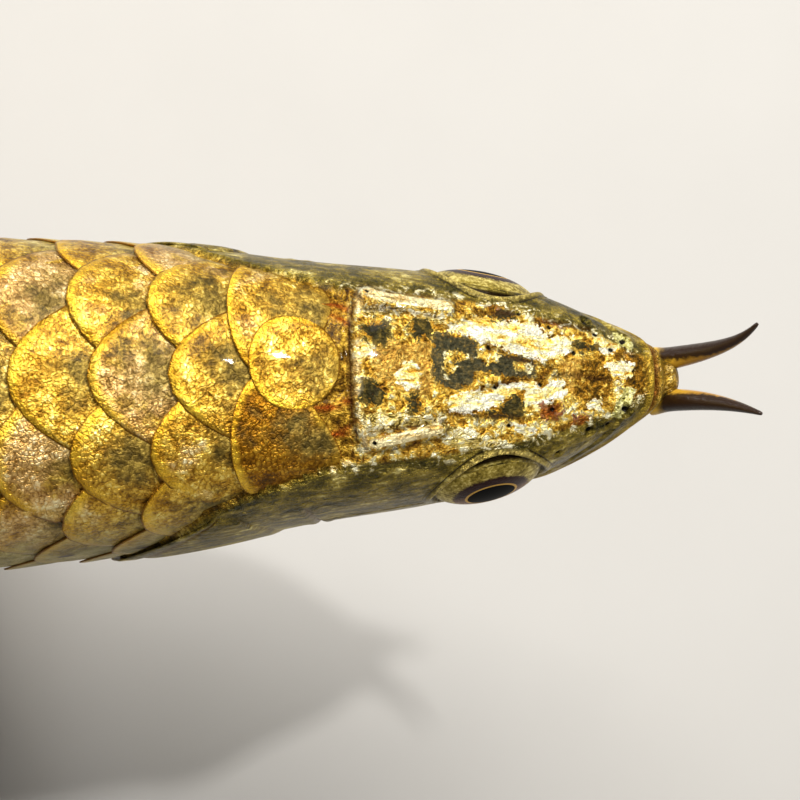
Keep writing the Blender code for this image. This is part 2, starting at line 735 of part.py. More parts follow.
def caudal_fin():
    """Rounded tail fin."""
    rays = []
    top, low = back(TAIL_END), belly(TAIL_END)
    for i in range(CAUDAL_RAYS):
        t = 2 * i / (CAUDAL_RAYS - 1) - 1
        height = (top + low) / 2 + t * (top - low) / 2 * CAUDAL_ROOT_SHARE
        root = world(TAIL_END - 0.004, 0, height)
        angle = t * CAUDAL_SPREAD
        length = CAUDAL_LENGTH * BODY_LENGTH * (1 - CAUDAL_CORNER_LOSS * t * t)
        line = []
        for r in range(5):
            u = r / 4
            lean = angle * (1 - 0.25 * u)
            line.append(root + Vector((-math.cos(lean), 0, math.sin(lean))) * length * u)
        rays.append(line)
    return fin("caudal_fin", rays, Vector((0, 1, 0)))


def paired_fin(name, size, side):
    """Pectoral or pelvic fin: a fan of rays from a short root on the flank."""
    count, rows, shares = size["rays"], size["steps"], size["shares"]
    place, height = size["place"], size["height"]
    angle = math.pi / 2
    while section(place, angle).z > SNOUT_Z + height * BODY_LENGTH:
        angle += 0.01
    spot = section(place, angle)
    rays = []
    for i in range(count):
        t = i / (count - 1)
        way = Vector(size["ways"][0]).lerp(Vector(size["ways"][1]), t).normalized()
        along = -size["root"] * BODY_LENGTH * (t - 0.5)
        root = spot + Vector((along, -FIN_ROOT_DEPTH, FIN_ROOT_RISE * (t - 0.5)))
        length = size["length"] * BODY_LENGTH * (shares[0] + (shares[1] - shares[0]) * t ** 0.8)
        line = []
        for r in range(rows):
            u = r / (rows - 1)
            step = way * (length * u - 0.002)
            line.append(root + step + Vector((0, size["flare"] * length * u * u * (1 - 0.5 * t), 0)))
        rays.append([Vector((p.x, side * p.y, p.z)) for p in line])
    blade = (rays[0][-1] - rays[0][0]).cross(rays[-1][-1] - rays[0][0]).normalized()
    return fin(name, rays, blade)


def make_fins(look, torso, tail):
    """All fins, each cut clear of the body that carries it."""
    torso_room, tail_room = grown(torso, ROOT_CLEARANCE), grown(tail, ROOT_CLEARANCE)
    made = [(median_fin("dorsal_fin", DORSAL, 1), tail_room), (median_fin("anal_fin", ANAL, -1), tail_room),
            (caudal_fin(), tail_room)]
    for side, word in ((1, "left"), (-1, "right")):
        made.append((paired_fin("pectoral_fin_" + word, PECTORAL, side), torso_room))
        made.append((paired_fin("pelvic_fin_" + word, PELVIC, side), torso_room))
    for node, room in made:
        boolean(node, room, "DIFFERENCE", keep_cutter=True)
        finish(node, look)
    bpy.data.objects.remove(torso_room)
    bpy.data.objects.remove(tail_room)


def make_barbels(look):
    """Two tapered feelers at the tip of the lower jaw, forward, up and apart, swaying a little to the right."""
    for side, word in ((1, "left"), (-1, "right")):
        root = world(0.006, side * BARBEL_SPACING / 2, -0.0145)
        centres, radii = [], []
        for k in range(10):
            u = k / 9
            forward = BARBEL_AHEAD[0] * u + BARBEL_AHEAD[1] * u * u
            rise = BARBEL_RISE[0] * u + BARBEL_RISE[1] * u * u
            apart = side * (BARBEL_APART[0] * u + BARBEL_APART[1] * u ** 3) - BARBEL_LEAN * u * u
            centres.append(root + Vector((forward, apart, rise)) * BARBEL_LENGTH)
            radii.append(BARBEL_RADIUS * (1 - BARBEL_TAPER[0] * u ** BARBEL_TAPER[1]))
        barbel = tube("barbel_" + word, centres, radii, 10)
        boolean(barbel, make_head_block("chin_room", -GAP / BODY_LENGTH, CUTTERS), "DIFFERENCE")
        boolean(barbel, lip("lip_room", -LIP_LIFT, GAP), "DIFFERENCE")
        finish(barbel, look)


# Stand

def make_stand(looks, torso):
    """Flat base and two upright rods that end at the belly."""
    bpy.ops.mesh.primitive_cube_add(size=1, location=(BASE_CENTRE_X, 0, BASE_SIZE[2] / 2))
    base = bpy.context.object
    base.name = "stand_base"
    base.scale = BASE_SIZE
    bpy.ops.object.transform_apply(location=False, rotation=False, scale=True)
    for old in base.users_collection:
        old.objects.unlink(base)
    FISH.objects.link(base)
    soft = base.modifiers.new("edges", "BEVEL")
    soft.width = BASE_BEVEL
    soft.segments = 2
    base.data.materials.append(looks["base"])
    room = grown(torso, ROOT_CLEARANCE)
    foot = BASE_SIZE[2] + GAP
    for word, place in ROD_PLACES.items():
        spot = sway(world(place, 0, belly(place)))
        profile = [(0, foot), (ROD_COLLAR[0], foot), (ROD_COLLAR[0], foot + ROD_COLLAR[1]),
                   (ROD_RADIUS, foot + ROD_COLLAR[1]), (ROD_RADIUS, spot.z + 0.006), (0, spot.z + 0.006)]
        rod = turned("stand_rod_" + word, profile, spot.x, spot.y)
        boolean(rod, room, "DIFFERENCE", keep_cutter=True)
        finish(rod, looks["rod"])
    bpy.data.objects.remove(room)


def turned(name, profile, x, y):
    """Solid turned about an upright axis from a profile of (radius, height)."""
    mesh = bpy.data.meshes.new(name)
    mesh.from_pydata([(radius, 0, height) for radius, height in profile],
                     [(i, i + 1) for i in range(len(profile) - 1)], [])
    made = bpy.data.objects.new(name, mesh)
    FISH.objects.link(made)
    spin = made.modifiers.new("turned", "SCREW")
    spin.steps = spin.render_steps = ROD_SIDES
    spin.use_merge_vertices = True
    spin.merge_threshold = 1e-6
    apply_modifiers(made)
    work = bmesh.new()
    work.from_mesh(made.data)
    bmesh.ops.remove_doubles(work, verts=work.verts, dist=1e-6)
    bmesh.ops.recalc_face_normals(work, faces=work.faces)
    work.to_mesh(made.data)
    work.free()
    made.data.transform(Matrix.Translation((x, y, 0)))
    return made


LOOKS = {
    "head": material("head_gold", (0.62, 0.44, 0.12), 0.3, 0.5),
    "jaw": material("jaw_olive", (0.50, 0.42, 0.20), 0.35, 0.3),
    "cover": material("cheek_pale_gold", (0.66, 0.56, 0.30), 0.28, 0.5),
    "body": material("scale_gold", (0.60, 0.42, 0.12), 0.3, 0.5),
    "fin": material("fin_amber", (0.45, 0.28, 0.10), 0.4),
    "eye": material("eye_dark", (0.05, 0.03, 0.02), 0.05),
    "barbel": material("barbel_dark", (0.10, 0.06, 0.02), 0.3),
    "base": material("base_black", (0.03, 0.03, 0.03), 0.4),
    "rod": material("rod_steel", (0.6, 0.6, 0.6), 0.3, 1.0),
}

head, jaw, cover_left, cover_right = make_head_nodes(LOOKS)
torso, tail = make_trunk(LOOKS)
for word, side in (("left", 1), ("right", -1)):
    finish(eyeball("eye_" + word, side, 0.0, FISH), LOOKS["eye"])
make_barbels(LOOKS["barbel"])
make_fins(LOOKS["fin"], torso, tail)
for node in FISH.objects:
    for vertex in node.data.vertices:
        vertex.co = sway(vertex.co)
make_stand(LOOKS, torso)
for cutter in CUTTERS.objects:
    cutter.hide_render = True
    cutter.display_type = "WIRE"
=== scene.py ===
# Asian arowana on its display stand: skin, scales, eyes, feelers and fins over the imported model.
# Metres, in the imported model's frame. +X is forward, +Y the fish's left, +Z up.
import math

import bpy
import numpy as np
from mathutils import Matrix, Vector


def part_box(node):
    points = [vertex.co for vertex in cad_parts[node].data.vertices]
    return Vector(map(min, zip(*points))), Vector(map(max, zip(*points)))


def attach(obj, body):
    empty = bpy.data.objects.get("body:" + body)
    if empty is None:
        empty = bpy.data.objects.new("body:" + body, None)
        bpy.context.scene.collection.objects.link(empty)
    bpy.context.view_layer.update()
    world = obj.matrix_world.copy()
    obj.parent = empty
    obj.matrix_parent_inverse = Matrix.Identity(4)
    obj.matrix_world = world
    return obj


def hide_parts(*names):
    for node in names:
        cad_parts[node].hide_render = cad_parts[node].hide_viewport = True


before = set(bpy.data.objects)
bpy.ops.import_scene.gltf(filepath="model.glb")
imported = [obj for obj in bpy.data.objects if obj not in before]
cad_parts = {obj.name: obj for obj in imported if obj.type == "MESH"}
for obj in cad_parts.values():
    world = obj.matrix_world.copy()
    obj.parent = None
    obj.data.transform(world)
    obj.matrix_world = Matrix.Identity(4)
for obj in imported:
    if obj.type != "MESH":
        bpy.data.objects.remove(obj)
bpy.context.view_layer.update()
bpy.ops.object.select_all(action="DESELECT")


# Camera, floor and light
# The fish is seen from above, with its right side turned a little to the camera, so that the head and
# the first scales fill the picture. The floor is a plain pale studio sheet under large soft lamps.
VIEW_TILT = math.radians(8)
VIEW_DISTANCE = 0.70
VIEW_WIDTH = 0.119  # what the picture spans at the height of the back
VIEW_BACK = Vector((0.1494, 0.0, 0.1402))  # on the midline of the back, under the picture's middle column
VIEW_DROP = 0.0042  # how far the picture's middle lies to the fish's right of it
VIEW_ROLL = math.radians(2)  # the fish's head points a little upward in the picture

view_up = Vector((0, math.cos(VIEW_TILT), math.sin(VIEW_TILT)))
view_along = Vector((0, math.sin(VIEW_TILT), -math.cos(VIEW_TILT)))
view_from = VIEW_BACK - view_up * VIEW_DROP - view_along * VIEW_DISTANCE
view_turn = Matrix.Rotation(VIEW_TILT, 3, "X") @ Matrix.Rotation(-VIEW_ROLL, 3, "Z")
bpy.ops.object.camera_add(location=view_from, rotation=view_turn.to_euler())
camera = bpy.context.object
camera.data.lens = camera.data.sensor_width * VIEW_DISTANCE / VIEW_WIDTH
bpy.context.scene.camera = camera
bpy.context.scene.view_settings.view_transform = "Standard"


class Finish:
    """A material drawn up node by node. Its pattern follows the piece's own coordinates or attributes."""

    def __init__(self, name, **fixed):
        self.material = bpy.data.materials.new(name)
        self.material.use_nodes = True
        self.tree = self.material.node_tree
        self.shader = self.tree.nodes["Principled BSDF"]
        for key, value in fixed.items():
            self.shader.inputs[key.replace("_", " ").title().replace("Ior", "IOR")].default_value = value

    def add(self, kind, inputs=None, output=0, **settings):
        made = self.tree.nodes.new("ShaderNode" + kind)
        for key, value in settings.items():
            setattr(made, key, value)
        for key, value in (inputs or {}).items():
            self.feed(made.inputs[key], value)
        return made.outputs[output]

    def feed(self, socket, value):
        if isinstance(value, bpy.types.NodeSocket):
            self.tree.links.new(value, socket)
        elif isinstance(value, tuple) and len(value) == 3 and socket.type == "RGBA":
            socket.default_value = (*value, 1)
        else:
            socket.default_value = value

    def drive(self, name, value):
        self.feed(self.shader.inputs[name], value)

    def spot(self, stretch=(1, 1, 1)):
        """Coordinates on the piece in metres, stretched along an axis where a pattern runs that way."""
        place = self.add("TexCoord", output=3)
        return self.add("Mapping", {"Vector": place, "Scale": stretch})

    def reading(self, name):
        return self.add("Attribute", output=2, attribute_name=name)

    def noise(self, size, detail=4, rough=0.55, stretch=(1, 1, 1), swirl=0.0):
        """Cloudy pattern whose patches are about size across."""
        return self.add("TexNoise", {"Vector": self.spot(stretch), "Scale": 1 / size, "Detail": detail,
                                     "Roughness": rough, "Distortion": swirl})

    def grain(self, size, detail=4, rough=0.55, stretch=(1, 1, 1), swirl=0.0, hard=0.17):
        """The same pattern drawn out to reach from 0 to 1. A smaller hard gives sharper patches."""
        return self.add("MapRange", {"Value": self.noise(size, detail, rough, stretch, swirl),
                                     "From Min": 0.5 - hard, "From Max": 0.5 + hard})

    def creases(self, size, stretch=(1, 1, 1), swirl=1.0, sharp=0.04):
        """Thin winding folds about size apart, 1 along each fold and 0 between them."""
        away = self.add("Math", {0: self.sum(self.noise(size, 2, 0.5, stretch, swirl), -0.5)}, operation="ABSOLUTE")
        return self.step(away, sharp, 0.0)

    def cells(self, size, feature="F1", output=0, wobble=0.0):
        """Mosaic of cells about size across. A wobble in metres makes their edges uneven."""
        spot = self.spot()
        if wobble:
            shift = self.add("TexNoise", {"Vector": spot, "Scale": 0.6 / size, "Detail": 2.0}, output=1)
            shift = self.add("VectorMath", {0: shift, 1: (0.5, 0.5, 0.5)}, operation="SUBTRACT")
            shift = self.add("VectorMath", {0: shift, "Scale": 2 * wobble}, operation="SCALE")
            spot = self.add("VectorMath", {0: spot, 1: shift}, operation="ADD")
        return self.add("TexVoronoi", {"Vector": spot, "Scale": 1 / size}, output=output, feature=feature)

    def ramp(self, value, *stops):
        """Colour read off a row of (position, colour) stops."""
        made = self.tree.nodes.new("ShaderNodeValToRGB")
        self.feed(made.inputs[0], value)
        row = made.color_ramp.elements
        while len(row) < len(stops):
            row.new(0.5)
        for mark, (position, colour) in zip(row, stops):
            mark.position = position
            mark.color = (*colour, 1)
        return made.outputs[0]

    def sum(self, *terms):
        """Terms are numbers, sockets, or (socket, factor)."""
        total = 0.0
        for term in terms:
            socket, factor = term if isinstance(term, tuple) else (term, 1.0)
            total = self.add("Math", {0: socket, 1: factor, 2: total}, operation="MULTIPLY_ADD")
        return total

    def times(self, a, b):
        return self.add("Math", {0: a, 1: b}, operation="MULTIPLY")

    def step(self, value, low, high):
        """0 below low and 1 above high, with a soft change between. It falls where low is above high."""
        ends = (0.0, 1.0) if low < high else (1.0, 0.0)
        return self.add("MapRange", {"Value": value, "From Min": min(low, high), "From Max": max(low, high),
                                     "To Min": ends[0], "To Max": ends[1]}, interpolation_type="SMOOTHSTEP")

    def mix(self, share, under, over):
        """Colour over another by a share."""
        return self.add("Mix", {0: share, 6: under, 7: over}, output=2, data_type="RGBA")

    def bumps(self, *layers):
        """Surface relief from (height, depth in metres) layers."""
        normal = None
        for height, depth in layers:
            inputs = {"Height": height, "Distance": depth, "Strength": 1.0}
            if normal is not None:
                inputs["Normal"] = normal
            normal = self.add("Bump", inputs)
        self.drive("Normal", normal)


def dress(piece, finish):
    piece.data.materials.clear()
    piece.data.materials.append(finish.material)


FLOOR_SPAN = 8.0
bpy.ops.mesh.primitive_plane_add(size=FLOOR_SPAN)
floor = bpy.context.object
floor.name = "floor"
floor_finish = Finish("studio_floor", roughness=0.65)
floor_finish.drive("Base Color", floor_finish.mix(floor_finish.noise(0.03), (0.50, 0.49, 0.475), (0.53, 0.52, 0.505)))
dress(floor, floor_finish)

room = bpy.data.worlds.new("room")
room.use_nodes = True
room.node_tree.nodes["Background"].inputs["Color"].default_value = (1.0, 0.98, 0.96, 1)
room.node_tree.nodes["Background"].inputs["Strength"].default_value = 0.15
bpy.context.scene.world = room

LAMPS = [  # name, place, size, power, colour
    ("main_lamp", (0.28, 0.44, 0.86), 0.42, 7.4, (1.0, 0.96, 0.88)),
    ("side_lamp", (0.20, -0.90, 0.34), 0.50, 0.9, (1.0, 0.93, 0.80)),
    ("rear_lamp", (-0.50, 0.52, 0.62), 0.50, 4.2, (0.97, 0.97, 1.0)),
    ("left_lamp", (0.05, 1.00, 0.66), 0.55, 4.5, (1.0, 0.98, 0.92)),
    ("small_lamp", (0.48, 0.19, 0.88), 0.030, 3.4, (1.0, 0.98, 0.94)),
]
LAMP_AIM = Vector((0.08, 0.0, 0.12))
for lamp_name, lamp_place, lamp_size, lamp_power, lamp_colour in LAMPS:
    aim = LAMP_AIM - Vector(lamp_place)
    bpy.ops.object.light_add(type="AREA", location=lamp_place, rotation=aim.to_track_quat("-Z", "Y").to_euler())
    lamp = bpy.context.object
    lamp.name = lamp_name
    lamp.data.size = lamp_size
    lamp.data.energy = lamp_power
    lamp.data.color = lamp_colour


# Skin
# One skin covers the head, throat, gill chambers and trunk from the snout to the root of the tail. On the
# head it lies bare over the bones, with the canals, pores, nostrils and mouth sunk into it or raised.
BODY_LENGTH = 0.356  # snout tip to the root of the tail fin
SNOUT_X = 0.190
SNOUT_Z = 0.126
BACK = [(0, -0.003), (0.01, 0.0065), (0.03, 0.0135), (0.06, 0.0235), (0.133, 0.044),
        (0.3, 0.066), (0.42, 0.070), (0.55, 0.066), (0.7, 0.053), (0.82, 0.036), (0.92, 0.023), (1.03, 0.021)]
BELLY = [(0, -0.016), (0.008, -0.028), (0.03, -0.048), (0.06, -0.069), (0.133, -0.116), (0.24, -0.160),
         (0.42, -0.189), (0.52, -0.188), (0.62, -0.170), (0.74, -0.129), (0.85, -0.088), (0.93, -0.068),
         (1.03, -0.064)]
HALF_WIDTH = [(0, 0.0074), (0.0035, 0.0101), (0.0134, 0.0166), (0.03, 0.0265), (0.055, 0.0378),
              (0.101, 0.0484), (0.15, 0.0545), (0.231, 0.0665), (0.32, 0.0710), (0.42, 0.0705),
              (0.62, 0.0520), (0.80, 0.0290), (0.95, 0.0140), (1.03, 0.0110)]
WIDEST_SHARE = 0.34
BACK_ROUNDING = 2.7
BELLY_ROUNDING = [(0, 2.2), (0.2, 2.0), (0.45, 1.75), (0.7, 1.8), (1.03, 2.2)]
SWAY_START = 0.42
SWAY = 0.016
MM = 0.001


def curve_through(knots, at):
    """Smooth curve through (place, value) knots, without overshoot."""
    x, y = np.array(knots, float).T
    step = np.diff(x)
    rise = np.diff(y) / step
    slope = np.concatenate([[rise[0]], np.zeros(len(x) - 2), [rise[-1]]])
    for i in range(1, len(x) - 1):
        if rise[i - 1] * rise[i] > 0:
            a, b = 2 * step[i] + step[i - 1], step[i] + 2 * step[i - 1]
            slope[i] = (a + b) / (a / rise[i - 1] + b / rise[i])
    at = np.clip(at, x[0], x[-1])
    i = np.clip(np.searchsorted(x, at) - 1, 0, len(x) - 2)
    t = (at - x[i]) / step[i]
    return ((1 + 2 * t) * (1 - t) ** 2 * y[i] + t * (1 - t) ** 2 * step[i] * slope[i]
            + t * t * (3 - 2 * t) * y[i + 1] + t * t * (t - 1) * step[i] * slope[i + 1])


def section(place, angle):
    """Points on the left half of the body, at angles from 0 on the back to pi on the belly."""
    top = curve_through(BACK, place)
    low = curve_through(BELLY, place)
    middle = top - WIDEST_SHARE * (top - low)
    cos, sin = np.cos(angle), np.sin(angle)
    power = np.where(cos > 0, BACK_ROUNDING, curve_through(BELLY_ROUNDING, place))
    reach = np.where(cos > 0, top - middle, middle - low)
    rise = np.abs(cos) ** (2 / power) * np.sign(cos)
    side = np.abs(sin) ** (2 / power)
    return np.stack([SNOUT_X - place * BODY_LENGTH + 0 * angle, side * curve_through(HALF_WIDTH, place) * BODY_LENGTH,
                     SNOUT_Z + (middle + rise * reach) * BODY_LENGTH], axis=-1)


# Angles at even steps of skin from back to belly, for a row of places along the body.
TABLE_PLACES = np.linspace(0, 1.03, 413)
TABLE_SHARES = np.linspace(0, 1, 241)
fine_angles = np.linspace(0, math.pi, 721)
half_rings = section(TABLE_PLACES[:, None], fine_angles[None, :])
ring_steps = np.linalg.norm(np.diff(half_rings, axis=1), axis=2)
ring_runs = np.concatenate([np.zeros((len(TABLE_PLACES), 1)), np.cumsum(ring_steps, axis=1)], axis=1)
HALF_GIRTH = ring_runs[:, -1]
TURNS = np.array([np.interp(TABLE_SHARES * run[-1], run, fine_angles) for run in ring_runs])


def table_at(table, place, share):
    """Value between the entries of a table of places and shares."""
    i = np.clip(place, 0, TABLE_PLACES[-1]) / TABLE_PLACES[1]
    k = np.clip(share, 0, 1) / TABLE_SHARES[1]
    i0 = np.minimum(i.astype(int), len(TABLE_PLACES) - 2)
    k0 = np.minimum(k.astype(int), len(TABLE_SHARES) - 2)
    i, k = i - i0, k - k0
    return ((table[i0, k0] * (1 - k) + table[i0, k0 + 1] * k) * (1 - i)
            + (table[i0 + 1, k0] * (1 - k) + table[i0 + 1, k0 + 1] * k) * i)


def on_skin(place, girth):
    """Points at a girth from 0 on the back to 1 on the belly, below 0 on the right side."""
    place, girth = np.broadcast_arrays(np.asarray(place, float), np.asarray(girth, float))
    girth = (girth + 1) % 2 - 1
    spot = section(place, table_at(TURNS, place, np.abs(girth)))
    spot[..., 1] *= np.where(girth < 0, -1, 1)
    return spot


def outward(place, girth):
    """Directions straight out of the skin."""
    along = on_skin(place + 0.0012, girth) - on_skin(place - 0.0012, girth)
    around = on_skin(place, girth + 0.006) - on_skin(place, girth - 0.006)
    out = np.cross(around, along)
    return out / np.maximum(np.linalg.norm(out, axis=-1, keepdims=True), 1e-12)


def swayed(spots):
    """The rear body swept gently to the left."""
    share = np.maximum(0, ((SNOUT_X - spots[..., 0]) / BODY_LENGTH - SWAY_START) / (1 - SWAY_START))
    moved = spots.copy()
    moved[..., 1] += SWAY * share * share
    return moved


SKIN_HEIGHTS = on_skin(TABLE_PLACES[:, None], TABLE_SHARES[None, :])[..., 2]


def share_at(place, height):
    """Share of the half girth at a height, given as a share of the body's length above the snout."""
    low, high = np.zeros(np.shape(place)), np.ones(np.shape(place))
    for _ in range(24):
        middle = (low + high) / 2
        above = table_at(SKIN_HEIGHTS, place, middle) > SNOUT_Z + height * BODY_LENGTH
        low, high = np.where(above, middle, low), np.where(above, high, middle)
    return (low + high) / 2


def soft(value, low, high):
    """0 at low and 1 at high, with a smooth change between."""
    t = np.clip((value - low) / (high - low), 0, 1)
    return t * t * (3 - 2 * t)


def hump(distance, width):
    return np.exp(-(distance / width) ** 2)


def to_line(spots, line):
    """Distance of each spot to a line of points."""
    line = np.asarray(line, float)
    nearest = np.full(len(spots), np.inf)
    for start, end in zip(line[:-1], line[1:]):
        run = end - start
        t = np.clip((spots - start) @ run / max(run @ run, 1e-18), 0, 1)
        nearest = np.minimum(nearest, np.linalg.norm(spots - start - t[:, None] * run, axis=1))
    return nearest


def rounded(knots, steps=6):
    """A line of points made smooth by rounding between its knots."""
    knots = np.array(knots, float)
    ends = np.concatenate([knots[:1], knots, knots[-1:]])
    line = []
    for before, start, end, after in zip(ends[:-3], ends[1:-2], ends[2:-1], ends[3:]):
        for t in np.arange(steps) / steps:
            pull = 2 * start + (end - before) * t + (2 * before - 5 * start + 4 * end - after) * t * t
            line.append((pull + (3 * start - before - 3 * end + after) * t ** 3) / 2)
    return np.array(line + [knots[-1]])


def wrapped_grid(name, columns, rows, shape):
    """A flat grid primitive wrapped to a form. shape gives a place for each share along and across."""
    bpy.ops.object.select_all(action="DESELECT")
    bpy.ops.mesh.primitive_grid_add(x_subdivisions=columns, y_subdivisions=rows, size=1)
    piece = bpy.context.object
    piece.name = name
    piece.data.uv_layers[0].name = "OFBake"
    flat = np.empty(len(piece.data.vertices) * 3)
    piece.data.vertices.foreach_get("co", flat)
    flat = flat.reshape(-1, 3) + 0.5
    spots = shape(flat[:, 0], flat[:, 1])
    piece.data.vertices.foreach_set("co", spots.ravel())
    return piece


def mark(piece, name, values):
    """Keep a value at each point of a piece for its material to read."""
    layer = piece.data.attributes.new(name, "FLOAT", "POINT")
    layer.data.foreach_set("value", np.ascontiguousarray(values, dtype=float))


def close_up(piece, reach=1e-6):
    """Merge the edges that meet, turn the faces outward and shade smooth."""
    bpy.ops.object.select_all(action="DESELECT")
    bpy.context.view_layer.objects.active = piece
    piece.select_set(True)
    bpy.ops.object.mode_set(mode="EDIT")
    bpy.ops.mesh.select_all(action="SELECT")
    bpy.ops.mesh.remove_doubles(threshold=reach)
    bpy.ops.mesh.normals_make_consistent(inside=False)
    bpy.ops.object.mode_set(mode="OBJECT")
    bpy.ops.object.shade_smooth()
    piece.select_set(False)


NECK_EDGE = [(0.1335, 0.120), (0.1335, 0.040), (0.152, 0.035), (0.184, 0.030), (0.205, 0.015),
             (0.226, -0.020), (0.238, -0.060), (0.239, -0.090), (0.228, -0.120), (0.205, -0.145),
             (0.184, -0.170), (0.182, -0.250)]
SCALE_BED = 1.15 * MM  # the skin lies this much lower under the scales
neck_line = rounded(NECK_EDGE)[::-1]


def behind_neck(place, girth):
    """How far a spot lies behind the edge of the skull and gill cover, in body lengths."""
    height = (on_skin(place, girth)[..., 2] - SNOUT_Z) / BODY_LENGTH
    return place - np.interp(height, neck_line[:, 1], neck_line[:, 0])


# Places on the head are given in millimetres behind the snout and to the left of the midline, seen from
# above. The drawn ones were measured on a sheet turned by a small angle about its middle.
SHEET_TURN = math.radians(2)
SHEET_MIDDLE = (40.6, -4.2)
SKULL_EDGE = 47.4
CANALS = [[(45.6, 12.1), (42.8, 11.4), (39.2, 10.9), (35.8, 10.6), (33.6, 10.3)],
          [(44.6, -10.6), (41.7, -10.0), (38.3, -9.2), (34.9, -8.2)]]
CANAL_WIDTH, CANAL_HEIGHT = 0.85, 0.55
BROWS = [[(33.6, 10.4), (28.5, 10.9), (24.0, 11.6)], [(34.0, -8.6), (29.0, -9.6), (22.5, -10.6)]]
SKULL_SEAMS = [[(34.0, 7.3), (31.0, 8.6), (27.6, 9.7), (23.0, 10.0)], [(34.2, -5.7), (30.3, -6.2), (25.8, -6.1), (22.0, -6.3)],
               [(27.6, 4.6), (23.4, 2.9), (20.0, 2.2), (17.5, 1.5)], [(29.1, -2.3), (23.5, -0.6), (19.6, 0.0), (16.4, 0.6)],
               [(45.8, 9.6), (39.2, 9.2), (34.6, 8.8)], [(45.0, -8.8), (39.2, -8.2), (35.2, -7.0)],
               [(16.8, 0.8), (13.0, 0.5), (9.0, 0.4)], [(20.4, 8.9), (16.4, 8.8), (12.0, 7.9)]]
PORES = [(45.6, 12.3), (44.5, -10.6), (22.6, 10.1), (18.2, 8.2), (11.2, 7.4), (27.1, 4.6), (14.3, 4.3),
         (26.2, -1.5), (19.6, -1.0), (24.1, -7.2), (17.8, -4.7), (16.6, -10.7), (9.2, -6.4), (8.6, 4.9)]
NAPE_FOLDS = [[(47.8, 7.0), (51.5, 8.6), (56.0, 8.0)], [(47.6, 9.2), (52.0, 10.6), (57.5, 10.0)],
              [(47.8, -4.2), (51.5, -5.6), (55.5, -5.2)], [(48.2, -8.8), (51.0, -9.6), (53.5, -10.6)]]
NOSTRILS = [(6.6, 5.3), (12.3, 8.3), (6.6, -5.3), (12.3, -8.3)]
ROOF_EDGE = [(0, 1.5), (5.7, 3.4), (10, 5.9), (14, 7.2), (19, 8.6), (25, 10.3), (36, 11.8), (48, 13.0)]
# Lines on the side of the head, as places along the body and heights above the snout, in body lengths
MOUTH_LINE = [(0.0054, 0.0022), (0.0098, -0.0024), (0.019, -0.0094), (0.030, -0.0180), (0.075, -0.0480),
              (0.125, -0.0830)]
CHEEK_SEAMS = [[(0.101, -0.010), (0.125, -0.014), (0.152, -0.020)],
               [(0.096, -0.030), (0.118, -0.044), (0.154, -0.058)],
               [(0.073, -0.040), (0.082, -0.050), (0.100, -0.062), (0.134, -0.078), (0.152, -0.088)],
               [(0.155, 0.012), (0.151, -0.020), (0.149, -0.058), (0.148, -0.085), (0.158, -0.112)],
               [(0.045, -0.014), (0.052, -0.024), (0.066, -0.038)]]
JAW_SEAM = [(0.125, -0.0830), (0.138, -0.100), (0.150, -0.150)]
EYE_PLACE = 0.0775
EYE_DROP = 0.0118
EYE_RADIUS = 0.0088
EYE_HALF_DEPTH = 0.0037
EYE_SUNK = 0.0020
EYE_LIFT = math.radians(9)
EYE_FORWARD = math.radians(13)


def eye_frame(side):
    """Centre and turning of an eye: its own Z points out of the head."""
    height = curve_through(BACK, EYE_PLACE) - EYE_DROP / BODY_LENGTH
    share = share_at(np.array([EYE_PLACE]), height)
    spot = Vector(on_skin(np.array([EYE_PLACE]), side * share)[0])
    out = Vector((math.sin(EYE_FORWARD), side * math.cos(EYE_FORWARD), math.tan(EYE_LIFT))).normalized()
    return Matrix.Translation(spot - out * EYE_SUNK) @ out.to_track_quat("Z", "Y").to_matrix().to_4x4()


def in_frame(matrix, spots):
    """Spots seen from a frame."""
    turn = np.array(matrix.inverted())
    return spots @ turn[:3, :3].T + turn[:3, 3]


def side_line(line, side):
    """A line of (place, height) laid on one side of the skin."""
    line = rounded(line)
    return on_skin(line[:, 0], side * share_at(line[:, 0], line[:, 1]))


NOSE_COLUMNS, HEAD_COLUMNS, TRUNK_COLUMNS = 8, 250, 44
HEAD_END, TRUNK_END = 0.27, 0.982
NOSE_AHEAD = 0.0020
HALF_ROWS = 165
MOUTH_ROW = 0.52  # share of the rows that lie above the mouth line
nose_turn = np.linspace(0, math.pi / 2, NOSE_COLUMNS + 1)[:-1]
COLUMN_PLACE = np.concatenate([np.zeros(NOSE_COLUMNS), HEAD_END * np.linspace(0, 1, HEAD_COLUMNS) ** 1.35,
                               np.linspace(HEAD_END, TRUNK_END, TRUNK_COLUMNS)[1:], [TRUNK_END]])
COLUMN_REACH = np.concatenate([np.sin(nose_turn), np.ones(HEAD_COLUMNS + TRUNK_COLUMNS - 1), [0]])
COLUMN_AHEAD = np.concatenate([NOSE_AHEAD * np.cos(nose_turn) ** 0.7, np.zeros(HEAD_COLUMNS + TRUNK_COLUMNS)])
mouth_places = np.linspace(MOUTH_LINE[0][0], MOUTH_LINE[-1][0], 120)
mouth_shares = share_at(mouth_places, curve_through(MOUTH_LINE, mouth_places))
mouth_rim = np.concatenate([on_skin(mouth_places, mouth_shares)[::-1], on_skin(mouth_places, -mouth_shares)])
eye_frames = {1: eye_frame(1), -1: eye_frame(-1)}


def seen_from_above(spots):
    """Millimetres behind the snout and to the left of the midline."""
    return np.stack([(SNOUT_X - spots[:, 0]) / MM, spots[:, 1] / MM], axis=1)


def on_sheet(spots):
    """The same on the sheet of the drawn places."""
    plan = seen_from_above(spots) - SHEET_MIDDLE
    cos, sin = math.cos(SHEET_TURN), math.sin(SHEET_TURN)
    return np.stack([plan[:, 0] * cos + plan[:, 1] * sin, plan[:, 1] * cos - plan[:, 0] * sin], axis=1) + SHEET_MIDDLE


